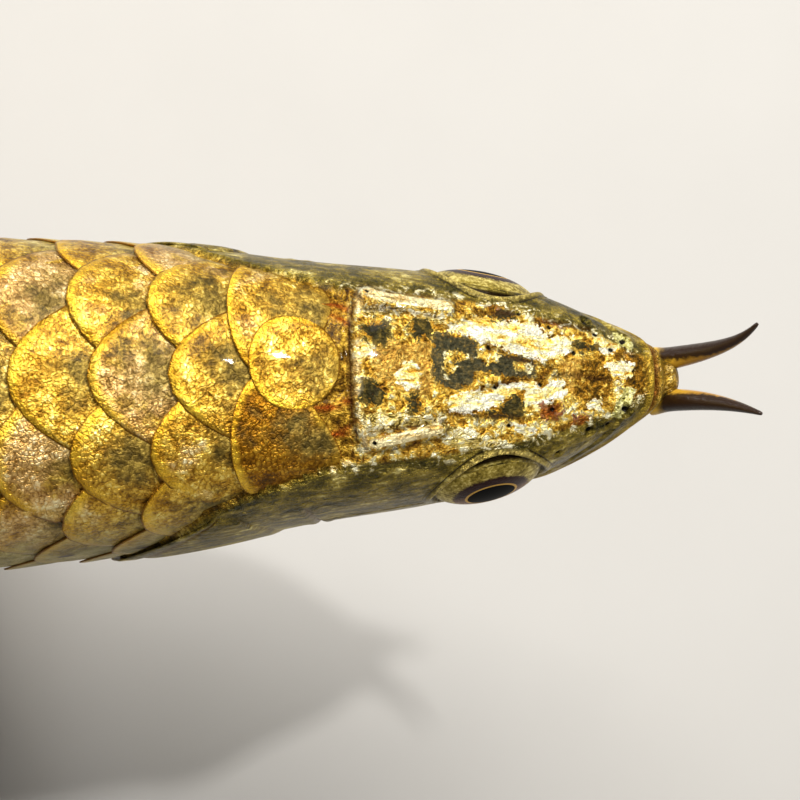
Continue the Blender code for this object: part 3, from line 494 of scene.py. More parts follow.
def head_relief(spots, place, girth):
    """Height of the bare head above the plain form, and values for its colours."""
    lift = np.zeros(len(spots))
    values = {}
    above = seen_from_above(spots)
    plan = on_sheet(spots)
    on_top = soft(np.abs(girth), 0.62, 0.5)

    def to_holes(places, view):
        """Distance to the nearest of some holes, measured from where each one lies on the skin."""
        upper = np.where(np.abs(girth) < 0.42, 0, np.inf)
        middles = [spots[np.argmin(np.linalg.norm(view - np.array(p), axis=1) + upper)] for p in places]
        return np.min([np.linalg.norm(spots - middle, axis=1) for middle in middles], axis=0) / MM

    # The mouth is a deep groove between two rounded lips, with the jaw bones' edges beyond them.
    gap = to_line(spots, mouth_rim) / MM
    below = (place < MOUTH_LINE[0][0]) | (spots[:, 2] < SNOUT_Z + BODY_LENGTH * curve_through(MOUTH_LINE, place))
    d = np.where(below, -gap, gap)
    fade = soft(place, 0.140, 0.122)
    lips = (0.50 * hump(d - 0.95, 0.62) + 0.62 * hump(d + 1.0, 0.72) - 1.5 * hump(d, 0.30)
            + 0.32 * soft(d, 0.3, 1.2) * soft(d, 4.9, 4.1) - 0.22 * hump(d - 4.9, 0.40)
            + (0.28 * hump(d + 2.9, 0.7) - 0.18 * hump(d + 4.0, 0.45)) * soft(place, 0.020, 0.040))
    lift += lips * fade
    values["mouth"] = hump(d, 0.42 + 0.20 * soft(place, 0.030, 0.010)) * fade
    values["lip"] = (hump(d - 0.9, 1.0) + hump(d + 1.2, 1.5)) * fade
    # Canals stand up as tubes beside the skull roof, and seams part its bones.
    canal = np.min([to_line(plan, rounded(line)) for line in CANALS], axis=0)
    brow = np.min([to_line(plan, rounded(line)) for line in BROWS], axis=0)
    values["canal"] = hump(canal, CANAL_WIDTH) * on_top
    lift += (CANAL_HEIGHT * hump(canal, CANAL_WIDTH) + 0.15 * hump(brow, 1.3)) * on_top
    lift -= (0.22 * hump(canal - 1.5, 0.35) + 0.15 * hump(brow - 2.0, 0.5)) * on_top
    seam = np.min([to_line(plan, rounded(line)) for line in SKULL_SEAMS], axis=0)
    lift -= 0.20 * hump(seam, 0.32) * on_top
    values["seam"] = np.maximum(hump(seam, 0.40), hump(canal - 1.35, 0.34)) * on_top
    # The skull ends in a raised edge, behind which the nape lies lower.
    edge = above[:, 0] - SKULL_EDGE + 0.006 * (above[:, 1] - 0.5) ** 2
    roof = soft(np.abs(above[:, 1] - 0.6), 13.2, 11.2) * on_top
    lift += roof * 0.30 * hump(edge + 0.7, 0.7)
    values["rim"] = roof * hump(edge + 0.5, 0.45)
    values["crack"] = roof * hump(edge - 0.35, 0.42)
    lift -= 0.45 * values["crack"]
    fold = np.min([to_line(plan, rounded(line)) for line in NAPE_FOLDS], axis=0)
    lift += 0.35 * hump(fold, 0.55) * on_top
    pores = to_holes(PORES, plan)
    lift += (0.16 * hump(pores - 1.0, 0.4) - 0.75 * hump(pores, 0.50)) * on_top
    values["pore"] = hump(pores, 0.52) * on_top
    holes = to_holes(NOSTRILS, above)
    lift += (0.20 * hump(holes - 1.1, 0.4) - 0.9 * hump(holes, 0.55)) * on_top
    values["nostril"] = hump(holes, 0.60) * on_top
    beside = np.abs(above[:, 1] + 0.2) - np.interp(above[:, 0], *np.transpose(ROOF_EDGE))
    values["beside"] = np.clip(0.5 + beside / 4, 0, 1)
    # Plates of the cheek and the rear end of the jaw show as shallow grooves.
    cheeks = [side_line(line, side) for line in CHEEK_SEAMS for side in (1, -1)]
    groove = np.min([to_line(spots, line) for line in cheeks], axis=0) / MM
    lift += 0.14 * hump(groove - 1.2, 0.7) - 0.34 * hump(groove, 0.42)
    jaw = np.min([to_line(spots, side_line(JAW_SEAM, side)) for side in (1, -1)], axis=0) / MM
    lift -= 0.40 * hump(jaw, 0.5)
    values["groove"] = np.maximum(hump(groove, 0.5), hump(jaw, 0.55))
    # Throat: rays of the gill membrane under the jaw.
    throat = soft(np.abs(girth), 0.80, 0.90) * soft(place, 0.125, 0.15) * soft(place, 0.26, 0.21)
    lift += 0.28 * throat * np.cos(2 * math.pi * np.abs(girth) * 26)
    # Eye sockets
    for side, matrix in eye_frames.items():
        seen = in_frame(matrix, spots)
        ring = np.linalg.norm(seen[:, :2], axis=1) / EYE_RADIUS
        near = (girth * side > 0) & (seen[:, 2] > -0.008)
        lift -= np.where(near, 4.2 * soft(ring, 1.02, 0.88), 0)
    return lift * MM, values


def skin_shape(along, across):
    """Places of the skin's points, with the rows drawn to the mouth line on the head."""
    column = np.rint(along * (len(COLUMN_PLACE) - 1)).astype(int)
    place = COLUMN_PLACE[column]
    turn = 2 * across - 1
    anchor = np.interp(place, mouth_places, mouth_shares)
    anchor = anchor + (0.55 - anchor) * soft(place, 0.13, 0.24)
    anchor = np.maximum(anchor, 0.14)
    t = np.abs(turn)
    upper = anchor * (1 - (1 - np.clip(t / MOUTH_ROW, 0, 1)) ** 1.25)
    lower = 1 - (1 - anchor) * (1 - (1 - np.clip((1 - t) / (1 - MOUTH_ROW), 0, 1)) ** 1.25)
    girth = np.where(t < MOUTH_ROW, upper, lower) * np.sign(turn)
    spots = on_skin(place, girth)
    out = outward(place, girth)
    lift, values = head_relief(spots, place, girth)
    head = soft(place, 0.262, 0.24)
    behind = behind_neck(place, girth)
    bed = -SCALE_BED * soft(behind, -0.0008, 0.0016)
    skin_values["bed"] = soft(behind, -0.0008, 0.0008)
    spots = spots + out * (lift * head + bed)[:, None]
    middle = on_skin(place, 0 * place) * 0.5 + on_skin(place, 0 * place + 1) * 0.5
    spots = middle + (spots - middle) * COLUMN_REACH[column][:, None]
    spots[:, 0] += COLUMN_AHEAD[column]
    skin_values.update(values)
    skin_values["flank"] = np.abs(girth)
    skin_values["behind"] = place
    return swayed(spots)


skin_values = {}
skin = wrapped_grid("skin", len(COLUMN_PLACE) - 1, 2 * HALF_ROWS, skin_shape)
upper_skin = skin_values["flank"] < 0.5
for value_name, value in skin_values.items():
    mark(skin, value_name, value)

# Markings of the skull roof: outlines in millimetres behind the snout and to the left of the midline
MARKINGS = {
    "dark": [[(46.3, 6.3), (45.5, 7.4), (43.7, 7.7), (42.2, 7.1), (42.2, 5.7), (43.0, 4.2), (46.0, 5.0)],
             [(39.2, 6.7), (38.7, 8.1), (36.9, 8.3), (35.5, 7.5), (35.7, 6.3), (36.9, 5.1), (38.3, 4.7)],
             [(46.7, -2.5), (45.5, -1.5), (43.1, -1.8), (42.6, -2.7), (42.8, -4.4), (44.4, -5.3), (46.9, -4.2)],
             [(39.6, -4.0), (38.3, -3.2), (37.1, -4.2), (37.1, -5.7), (38.7, -6.2)],
             [(27.6, 9.6), (25.5, 10.8), (23.4, 10.6), (23.0, 9.1), (24.8, 8.4), (26.6, 8.7)],
             [(29.5, -5.9), (26.0, -5.0), (24.8, -3.3), (23.2, -2.5), (22.1, -2.9), (22.1, -4.6), (22.5, -6.0),
              (25.8, -6.4)],
             [(14.4, 5.6), (13.0, 6.0), (11.4, 5.6), (11.0, 4.6), (12.3, 4.2), (14.0, 4.4)]],
    "brown": [[(13.4, 2.8), (10.6, 3.4), (9.0, 2.0), (8.6, -0.6), (9.4, -3.0), (12.2, -3.6), (14.6, -2.2), (14.2, 0.2)],
              [(8.6, 4.6), (5.2, 5.2), (3.4, 3.2), (2.6, 0.0), (3.4, -3.2), (5.0, -5.0), (6.0, -3.0), (6.6, -0.4),
               (7.0, 2.4)]],
    "slate": [[(35.8, 5.3), (34.4, 6.4), (31.7, 5.9), (29.2, 5.2), (28.7, 3.8), (27.6, 2.4), (25.5, 3.3),
               (22.5, 3.3), (20.3, 2.3), (20.3, 0.6), (22.1, -0.2), (24.8, -0.2), (27.3, 0.4), (29.1, 0.6),
               (29.4, -0.8), (30.7, -1.9), (32.4, -2.5), (34.2, -2.3), (35.5, -0.6), (35.8, 1.7)]],
    "island": [[(33.5, 3.3), (31.7, 3.8), (30.7, 3.0), (30.8, 2.0), (32.3, 1.8), (32.4, -0.2), (33.7, -0.2),
                (34.2, 1.1)],
               [(29.1, 4.1), (27.3, 4.1), (25.8, 3.2), (26.2, 1.9), (27.6, 1.4), (28.9, 2.4)],
               [(23.9, 2.1), (22.5, 2.5), (20.9, 1.9), (21.2, 1.0), (23.2, 1.0)]],
    "tan": [[(44.6, 3.6), (42.1, 5.0), (39.2, 4.4), (36.0, 5.6), (35.6, 1.7), (35.4, -1.4), (36.4, -3.6),
             (39.6, -3.0), (42.1, -2.0), (44.6, -1.2)],
            [(16.8, 2.3), (14.8, 3.4), (11.9, 3.2), (9.0, 1.9), (8.7, -0.8), (10.2, -2.6), (13.0, -3.1),
             (15.5, -1.9)]],
    "bright": [[(33.5, 6.9), (30.3, 8.5), (27.6, 9.1), (23.9, 8.7), (22.5, 8.2), (20.0, 8.5), (18.4, 6.6),
                (14.6, 6.6), (15.2, 4.0), (17.5, 3.2), (20.0, 2.9), (23.4, 3.5), (27.3, 4.9), (30.3, 6.0)],
               [(11.6, 7.7), (10.3, 8.0), (7.8, 7.7), (7.7, 5.7), (9.4, 3.9), (10.9, 5.3)],
               [(9.4, 2.6), (7.0, 3.5), (5.4, 2.1), (5.7, 0.7), (7.7, 0.6)],
               [(33.5, -5.6), (33.0, -3.6), (30.3, -2.7), (25.5, -1.1), (21.0, -0.2), (20.0, -0.6),
                (21.0, -1.6), (24.1, -3.0), (26.2, -4.4), (29.1, -5.5), (31.7, -5.9)],
               [(19.6, -1.7), (17.8, -0.5), (16.0, -0.6), (15.7, -1.9), (16.6, -2.8), (18.9, -3.1)],
               [(22.1, -2.4), (20.3, -1.7), (19.6, -3.1), (17.5, -3.0), (17.8, -4.0), (20.3, -4.9),
                (21.9, -4.2)],
               [(47.4, 3.9), (44.9, 3.7), (44.6, 2.5), (45.8, 1.4), (47.4, 1.7)],
               [(23.5, -7.3), (22.1, -7.0), (20.3, -8.0), (22.1, -8.4)],
               [(12.6, -3.6), (10.4, -3.0), (10.4, -3.8), (12.4, -4.4)],
               [(41.0, 0.5), (39.2, 1.6), (38.0, 0.6), (38.0, -1.5), (39.6, -2.3), (40.8, -1.2)]],
    # The glitter patches are gold specked with near-white painted highlights.
    "glitter": [[(46.6, 10.4), (42.8, 10.2), (38.3, 9.6), (33.7, 8.9), (33.7, 7.5), (35.1, 7.3), (38.3, 8.7),
                 (42.8, 8.5), (45.8, 8.0)],
                [(47.1, -5.9), (42.6, -5.8), (38.3, -6.3), (34.2, -6.1), (33.5, -7.3), (30.0, -8.2),
                 (24.5, -9.2), (27.0, -12.0), (33.0, -11.0), (36.0, -8.6), (39.2, -8.6), (44.4, -9.6),
                 (46.5, -8.8)]],
    "red": [[(15.2, -6.6), (13.0, -5.5), (11.2, -6.1), (11.6, -7.7), (13.4, -8.8), (15.0, -8.3)],
            [(27.3, 10.7), (24.8, 12.0), (22.6, 11.8), (22.4, 10.9), (25.5, 10.9), (27.3, 10.0)],
            [(19.6, -3.9), (16.6, -3.9), (17.1, -5.9), (19.3, -5.8)],
            [(19.8, 9.4), (16.4, 9.2), (12.4, 8.6), (12.4, 8.0), (16.4, 8.4), (19.8, 8.8)]],
    "plate": [[(8.4, 7.9), (6.8, 7.2), (5.2, 5.9), (5.7, 5.0), (7.7, 5.7)],
              [(6.4, -0.7), (5.2, -1.2), (5.9, -3.1), (7.5, -5.4), (8.6, -5.0), (7.7, -2.9)]],
}
MARK_SOFTNESS = 2.2  # a marking's edge fades over this much, so that the grain can break it up


def depth_inside(plan, outline):
    """Distance inside a closed outline, below 0 outside."""
    loop = np.array(outline + outline[:1])
    inside = np.zeros(len(plan), bool)
    for (x0, y0), (x1, y1) in zip(loop[:-1], loop[1:]):
        crosses = (y0 > plan[:, 1]) != (y1 > plan[:, 1])
        with np.errstate(divide="ignore", invalid="ignore"):
            inside ^= crosses & (plan[:, 0] < x0 + (plan[:, 1] - y0) * (x1 - x0) / (y1 - y0))
    return np.where(inside, 1, -1) * to_line(plan, loop)


def points_of(piece):
    spots = np.empty(len(piece.data.vertices) * 3)
    piece.data.vertices.foreach_get("co", spots)
    return spots.reshape(-1, 3)


def mark_head(piece, upper):
    """The head's markings, the same on every piece that lies on it. upper tells where they may show."""
    spots = points_of(piece)
    plan = on_sheet(spots)
    shown = (plan[:, 0] < 60) & upper
    for kind, outlines in MARKINGS.items():
        share = np.zeros(len(plan))
        depth = np.max([depth_inside(plan[shown], outline) for outline in outlines], axis=0)
        share[shown] = np.clip(0.5 + depth / MARK_SOFTNESS, 0, 1)
        mark(piece, kind, share)
    folds = np.zeros(len(plan))
    folds[shown] = hump(np.min([to_line(plan[shown], rounded(line)) for line in NAPE_FOLDS], axis=0), 0.42)
    mark(piece, "fold", folds)


mark_head(skin, upper_skin)
close_up(skin)


def head_finish():
    """Crumpled gold leaf over dark skin on the skull roof, olive and bronze sides, cream throat."""
    f = Finish("head_skin", coat_weight=0.05, coat_roughness=0.04, specular_ior_level=0.15)
    flakes = f.grain(0.0017, detail=5, rough=0.62, swirl=0.5)
    crumbs = f.grain(0.00050, detail=2, rough=0.5, hard=0.24)
    streaks = f.grain(0.0013, detail=4, rough=0.62, stretch=(0.22, 1, 1), swirl=0.4)
    clouds = f.grain(0.006, detail=3)
    creases = f.creases(0.0020, swirl=1.6, sharp=0.045)
    wrinkles = f.creases(0.0012, stretch=(0.45, 1, 1), swirl=1.0, sharp=0.05)
    ragged = f.sum((flakes, 0.68), (crumbs, 0.32))

    def patch(name, sharp=0.10, lean=0.0, wild=0.90):
        """A marking whose edge is broken up by the grain."""
        edge = 0.52 + wild / 2 + lean
        return f.step(f.sum((f.reading(name), 1.0), (ragged, wild)), edge - sharp, edge + sharp)

    leaf = f.ramp(f.sum((flakes, 0.75), (crumbs, 0.25)), (0.10, (0.070, 0.028, 0.002)), (0.28, (0.36, 0.17, 0.012)),
                  (0.46, (0.78, 0.46, 0.055)), (0.62, (1.0, 0.75, 0.18)), (0.78, (1.0, 0.96, 0.62)))
    tan = f.ramp(f.sum((flakes, 0.40), (crumbs, 0.60)), (0.10, (0.22, 0.095, 0.012)), (0.40, (0.48, 0.25, 0.035)),
                 (0.68, (0.74, 0.47, 0.090)), (0.95, (1.0, 0.80, 0.26)))
    glow = f.ramp(f.sum((streaks, 0.80), (crumbs, 0.20)), (0.06, (0.40, 0.16, 0.008)), (0.20, (0.96, 0.56, 0.070)),
                  (0.38, (1.0, 0.86, 0.30)), (0.64, (1.0, 0.99, 0.80)))
    # Partly painted light: gold flecks with near-white specks of painted highlight, darker along the wrinkles as
    # painted shade.
    spark = f.ramp(f.sum((wrinkles, -0.45), (flakes, 0.45), (crumbs, 0.25), 0.30), (0.12, (0.060, 0.045, 0.008)),
                   (0.38, (0.38, 0.25, 0.040)), (0.60, (0.86, 0.66, 0.18)), (0.80, (1.0, 0.95, 0.66)))
    slate = f.ramp(f.sum((crumbs, 0.6), (flakes, 0.4)), (0.15, (0.022, 0.022, 0.010)), (0.50, (0.058, 0.051, 0.022)),
                   (0.75, (0.15, 0.105, 0.030)), (0.92, (0.46, 0.28, 0.060)))
    soot = f.ramp(ragged, (0.2, (0.010, 0.008, 0.002)), (0.6, (0.042, 0.034, 0.007)), (0.9, (0.20, 0.13, 0.020)))
    bark = f.ramp(f.sum((flakes, 0.6), (crumbs, 0.4)), (0.18, (0.018, 0.010, 0.002)), (0.42, (0.115, 0.058, 0.005)),
                  (0.60, (0.34, 0.155, 0.010)), (0.82, (0.84, 0.58, 0.100)))
    # Painted shade: the leaf goes dark brown along its creases, which the relief also sinks.
    roof = f.mix(f.times(creases, 0.60), leaf, (0.085, 0.030, 0.003))
    roof = f.mix(patch("glitter"), roof, spark)
    roof = f.mix(patch("tan"), roof, tan)
    roof = f.mix(patch("brown"), roof, bark)
    bright = patch("bright", 0.06, -0.12)
    # Painted shade: the bright patches darken along the same creases.
    roof = f.mix(bright, roof, f.mix(f.times(creases, 0.30), glow, (0.40, 0.17, 0.012)))
    stone = f.times(patch("slate", 0.08), f.sum(1.0, (patch("island", 0.10), -1.0)))
    roof = f.mix(stone, roof, slate)
    dark = patch("dark", 0.10, wild=1.3)
    roof = f.mix(dark, roof, soot)
    red = f.mix(crumbs, (0.10, 0.012, 0.002), (0.36, 0.085, 0.010))
    roof = f.mix(f.times(patch("red", 0.10, -0.12), 0.90), roof, red)
    rim = f.times(f.reading("rim"), f.step(clouds, 0.25, 0.65))
    roof = f.mix(rim, roof, f.mix(flakes, (0.80, 0.50, 0.09), (1.0, 0.94, 0.66)))
    nape = f.ramp(ragged, (0.15, (0.040, 0.018, 0.002)), (0.45, (0.22, 0.110, 0.007)), (0.8, (0.80, 0.50, 0.060)))
    nape = f.mix(f.reading("fold"), nape, f.mix(crumbs, (0.16, 0.010, 0.001), (0.50, 0.12, 0.010)))
    nape = f.mix(f.step(f.reading("behind"), 0.20, 0.26), nape, f.mix(flakes, (0.16, 0.125, 0.026), (0.40, 0.31, 0.085)))
    moss = f.sum((clouds, 0.28), (streaks, 0.34), (ragged, 0.38))
    side = f.ramp(moss, (0.20, (0.026, 0.025, 0.004)), (0.44, (0.130, 0.098, 0.014)),
                  (0.64, (0.34, 0.25, 0.040)), (0.86, (0.85, 0.74, 0.28)))
    cheek = f.ramp(f.sum((clouds, 0.6), (flakes, 0.4)), (0.15, (0.110, 0.074, 0.003)), (0.55, (0.27, 0.190, 0.012)),
                   (0.90, (0.55, 0.42, 0.055)))
    flank = f.sum((f.reading("flank"), 1.0), (clouds, 0.05), (flakes, 0.035))
    beside = f.step(f.sum((f.reading("beside"), 1.0), (ragged, 0.30)), 0.55, 0.80)
    # Painted highlights: specks of the bright spark colour strewn on the olive sides beside the roof.
    glints = f.times(f.step(f.reading("beside"), 0.99, 0.70), f.step(f.sum((flakes, 0.6), (wrinkles, -0.5)), 0.25, 0.45))
    colour = f.mix(beside, roof, f.mix(glints, side, spark))
    colour = f.mix(f.step(flank, 0.40, 0.58), colour, cheek)
    colour = f.mix(f.step(flank, 0.84, 1.00), colour, (0.62, 0.55, 0.36))
    rod = f.step(f.sum((f.reading("canal"), 1.0), (flakes, 0.10)), 0.46, 0.62)
    colour = f.mix(rod, colour, f.mix(f.step(streaks, 0.0, 0.7), (0.62, 0.38, 0.09), (1.0, 0.88, 0.50)))
    plate = f.ramp(crumbs, (0.10, (0.10, 0.085, 0.015)), (0.34, (0.58, 0.52, 0.14)), (0.80, (0.94, 0.90, 0.46)))
    colour = f.mix(patch("plate", 0.06, -0.06, wild=0.35), colour, plate)
    snout = f.step(f.sum((f.reading("behind"), 1.0), (clouds, 0.004)), 0.0125, 0.0085)
    colour = f.mix(f.times(snout, 0.7), colour, bark)
    lip = f.mix(streaks, (0.22, 0.120, 0.006), (0.62, 0.43, 0.050))
    colour = f.mix(f.times(f.reading("lip"), 0.85), colour, lip)
    colour = f.mix(f.times(f.reading("seam"), 0.80), colour, (0.050, 0.018, 0.003))
    colour = f.mix(f.times(f.reading("groove"), 0.70), colour, (0.12, 0.055, 0.007))
    colour = f.mix(f.reading("bed"), colour, nape)
    colour = f.mix(f.reading("crack"), colour, (0.045, 0.014, 0.002))
    colour = f.mix(f.times(f.reading("ridge"), 0.85), colour, f.mix(crumbs, (0.20, 0.13, 0.02), (0.82, 0.66, 0.20)))
    # Painted shade round the eye: near black in the seam and in the groove above the fold.
    colour = f.mix(f.reading("line"), colour, (0.010, 0.006, 0.002))
    colour = f.mix(f.reading("mouth"), colour, (0.13, 0.006, 0.003))
    hole = f.add("Math", {0: f.reading("pore"), 1: f.reading("nostril")}, operation="MAXIMUM")
    colour = f.mix(f.step(hole, 0.42, 0.70), colour, (0.006, 0.004, 0.002))
    f.drive("Base Color", colour)
    above = f.step(flank, 0.60, 0.25)
    dull = f.add("Math", {0: stone, 1: dark}, operation="MAXIMUM")
    f.drive("Metallic", f.sum(0.18, (above, 0.55), (dull, -0.50), (bright, -0.25)))
    f.drive("Roughness", f.sum(0.26, (crumbs, 0.14), (dull, 0.16)))
    crumple = f.sum((flakes, 0.5), (streaks, 0.3), (creases, -0.25), (wrinkles, -0.15))
    f.bumps((f.times(crumple, f.sum(0.25, (above, 0.75))), 0.00050), (crumbs, 0.00010))
    return f


head_skin = head_finish()
dress(skin, head_skin)
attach(skin, "root")
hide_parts("head", "lower_jaw", "gill_cover_left", "gill_cover_right", "torso", "tail")


# Gill covers
# A thin bony plate on each side of the head, hinged ahead of its striated face and free behind, where a
# soft margin lies on the first scales. It is one sheet, thicker ahead, that grows out of the skin.
COVER_FRONT = [(0.186, 0.022), (0.169, -0.010), (0.160, -0.050), (0.158, -0.088), (0.166, -0.115),
               (0.186, -0.134)]
COVER_REAR = [(0.190, 0.026), (0.212, 0.006), (0.231, -0.022), (0.242, -0.060), (0.242, -0.092),
              (0.229, -0.122), (0.200, -0.146)]
COVER_COLUMNS, COVER_ROWS = 44, 90


def cover_shape(side):
    def shape(along, across):
        face = np.minimum(2 * along, 1)
        under = np.maximum(2 * along - 1, 0)
        reach = np.where(along <= 0.5, face, 1 - under)
        t = np.clip(across, 0, 1)
        front, rear = rounded(COVER_FRONT, 12), rounded(COVER_REAR, 12)
        start = np.stack([np.interp(t, np.linspace(0, 1, len(front)), front[:, k]) for k in (0, 1)], axis=1)
        end = np.stack([np.interp(t, np.linspace(0, 1, len(rear)), rear[:, k]) for k in (0, 1)], axis=1)
        spot = start + (end - start) * reach[:, None]
        share = share_at(spot[:, 0], spot[:, 1])
        girth = side * share
        ends = soft(t, 0, 0.07) * soft(t, 1, 0.90)
        top = -0.45 + 0.80 * soft(reach, 0, 0.16) + 0.18 * np.sin(math.pi * reach)
        rays = 0.06 * np.cos(2 * math.pi * t * 30) * soft(reach, 0.15, 0.4) * soft(reach, 0.9, 0.7)
        margin = -0.22 * hump(reach - 0.86, 0.03)
        outer = (top + rays + margin) * ends - 0.5 * (1 - ends)
        inner = (-0.60 + 0.55 * soft(reach, 0.5, 1.0)) * ends - 0.6 * (1 - ends)
        height = np.where(along <= 0.5, outer, inner)
        height = np.where(reach >= 1, (outer + inner) / 2, height)
        cover_values["flank"] = share
        cover_values["reach"] = reach
        cover_values["behind"] = spot[:, 0]
        cover_values["groove"] = hump(reach - 0.86, 0.035) + 0.8 * hump(reach - 0.05, 0.05)
        return swayed(on_skin(spot[:, 0], girth) + outward(spot[:, 0], girth) * height[:, None] * MM)
    return shape


for side, word in ((1, "left"), (-1, "right")):
    cover_values = {}
    cover = wrapped_grid("cover_plate_" + word, 2 * COVER_COLUMNS, COVER_ROWS, cover_shape(side))
    for value_name, value in cover_values.items():
        mark(cover, value_name, value)
    mark(cover, "beside", np.ones(len(cover.data.vertices)))
    mark_head(cover, np.zeros(len(cover.data.vertices), bool))
    close_up(cover)
    dress(cover, head_skin)
    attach(cover, "root")


# Scales
# Large round bony scales lie like roof tiles over the trunk, each rooted in the skin ahead and free
# behind. Their thin plates are gold, grained like a mosaic, with a bright rim and a darker middle.
SCALE_ROWS = 14
ROW_CROWDING = 0.055
FIRST_SCALE = 0.1765
SCALE_LENGTH = 0.0335
SCALE_TAPER = 0.00008
ROW_OFFSETS = (0.0, 0.25, 0.42, 0.87, 1.37, 1.87, 2.37, 2.87)
FIRST_STRETCH = 1.6
SCALES_TO = 0.985
SCALE_ROUNDING = 0.92  # how far the free edge falls back one row from its tip, in scale lengths
SCALE_HALF_SPAN = 0.95  # in rows
SCALE_REACH = 1.75  # root to tip, in scale lengths
SCALE_MIDDLE = 0.80
SCALE_SUNK = 1.5 * MM  # root below the plain form
SCALE_THICKNESS = 0.22 * MM
SCALE_DOME = 0.10 * MM
# The first scales of the nape are seen whole: half length and width of their oval, its slant to a point, how
# far it lies to the left, how far its point is drawn outward, in rows, and how brown it is, which on the
# right-hand scale is partly painted shade of the fish's shaded right side.
NAPE_SCALES = {0: (0.36, 0.74, 0.0, 0.17, 0.0, 0.0), 1: (0.46, 1.02, 0.30, 0.0, 0.15, 0.15),
               -1: (0.48, 1.02, 0.50, 0.0, -0.42, 1.0)}


def model_scale(rim_points, rings):
    """One round plate, a unit across, with rings of faces towards its middle and a plain underside."""
    bpy.ops.object.select_all(action="DESELECT")
    bpy.ops.mesh.primitive_circle_add(vertices=rim_points, radius=1, fill_type="NGON")
    plate = bpy.context.object
    bpy.ops.object.mode_set(mode="EDIT")
    bpy.ops.mesh.select_all(action="SELECT")
    bpy.ops.mesh.extrude_region_move(TRANSFORM_OT_translate={"value": (0, 0, 0.1)})
    for width in rings:
        bpy.ops.mesh.inset(thickness=width, depth=0)
    bpy.ops.mesh.poke()
    bpy.ops.object.mode_set(mode="OBJECT")
    flat = points_of(plate)
    faces = [tuple(face.vertices) for face in plate.data.polygons]
    low_corner = [max(flat[k][2] for k in face) < 0.05 for face in faces for _ in face]
    bpy.data.objects.remove(plate)
    return flat, faces, low_corner


def scale_place(count):
    """Place along the body of a number of scale lengths. Those ahead of the first are long."""
    stretch = np.where(count < 0, FIRST_STRETCH, 1.0)
    return FIRST_SCALE + SCALE_LENGTH * stretch * count - SCALE_TAPER * count * np.abs(count)


def girth_at(row):
    """Girth of a place counted in rows from the back, right rows below 0."""
    row = (row + SCALE_ROWS / 2) % SCALE_ROWS - SCALE_ROWS / 2
    share = np.abs(row) / (SCALE_ROWS / 2)
    return (share - ROW_CROWDING * np.sin(math.pi * share)) * np.sign(row)


def lay_scale(flat, row, tip, oval):
    """Bend a flat plate to its place: values go along with its points."""
    turn = rng.uniform(-0.05, 0.05)
    rounding = SCALE_ROUNDING * rng.uniform(0.93, 1.07)
    span = SCALE_HALF_SPAN * rng.uniform(0.97, 1.03)
    x = flat[:, 0] * math.cos(turn) - flat[:, 1] * math.sin(turn)
    y = flat[:, 0] * math.sin(turn) + flat[:, 1] * math.cos(turn)
    r = np.maximum(np.hypot(x, y), 1e-9)
    under = flat[:, 2] < 0.05
    if oval:
        half_length, span, slant, aside, drawn, _ = oval
        t = span * y * (1 - slant * np.maximum(0, -x)) + aside + drawn * np.maximum(0, -x) ** 2
        c = half_length * (x - 1)
        slope = 1 + 0.62 * c / half_length / 2
    else:
        t_edge = span * y / r
        side_fall = rounding * span ** 2
        free = -rounding * t_edge ** 2
        root = -side_fall - (SCALE_REACH - side_fall) * np.abs(x) / r
        c = -SCALE_MIDDLE + (np.where(x > 0, free, root) + SCALE_MIDDLE) * r
        t = t_edge * r
        slope = 1 + c / SCALE_REACH
    place = scale_place(tip + c)
    girth = girth_at(row + t)
    behind = behind_neck(place, girth)
    height = -SCALE_SUNK * (1 - slope) + SCALE_DOME * (1 - r ** 2) - 0.10 * MM * soft(r, 0.93, 1.0)
    height -= 1.5 * MM * soft(behind, 0.004, -0.003)
    height = np.where(under, height - SCALE_THICKNESS, height)
    spots = swayed(on_skin(place, girth) + outward(place, girth) * height[:, None])
    values = {"ring": r, "tipward": c, "across": t, "shade": np.full(len(r), rng.uniform(0, 1)),
              "tint": np.full(len(r), rng.uniform(0, 1)), "flank": np.abs(girth),
              "line": np.full(len(r), 1.0 if abs(row) == 3 else 0.0),
              "brownness": np.full(len(r), oval[-1] if oval else 0.0)}
    # The top of the plate fills its cell of the unwrapped skin, the underside a narrow strip of it.
    wall = np.where(under, 1.03, 1.0)
    middle_c = c.mean()
    top_patch = np.stack([tip + 3 + 0.48 * (middle_c + (c - middle_c) * wall), row + 6.5 + 0.46 * t * wall], axis=1)
    low_patch = np.stack([tip + 2.04 + 0.03 * c, row + 6.5 + 0.46 * t], axis=1)
    return spots, values, top_patch / (34, SCALE_ROWS), low_patch / (34, SCALE_ROWS)


rng = np.random.default_rng(7)
plain_plate = model_scale(24, (0.13, 0.40))
neck_plate = model_scale(56, (0.05, 0.06, 0.08, 0.10, 0.12, 0.14, 0.15))
plates = {"scales_right": [], "scales_left": []}
for row in range(-6, 8):
    offset = ROW_OFFSETS[abs(row)]
    number = 0 if row in NAPE_SCALES else -3
    while scale_place(number + offset) < SCALES_TO:
        tip = number + offset
        lead = behind_neck(scale_place(np.array([tip])), np.array([girth_at(row)]))[0]
        oval = NAPE_SCALES.get(row) if number == 0 else None
        if lead > 0.012:
            model = neck_plate if lead < 0.075 else plain_plate
            plates["scales_left" if row > 0 else "scales_right"].append((model, *lay_scale(model[0], row, tip, oval)))
        number += 1


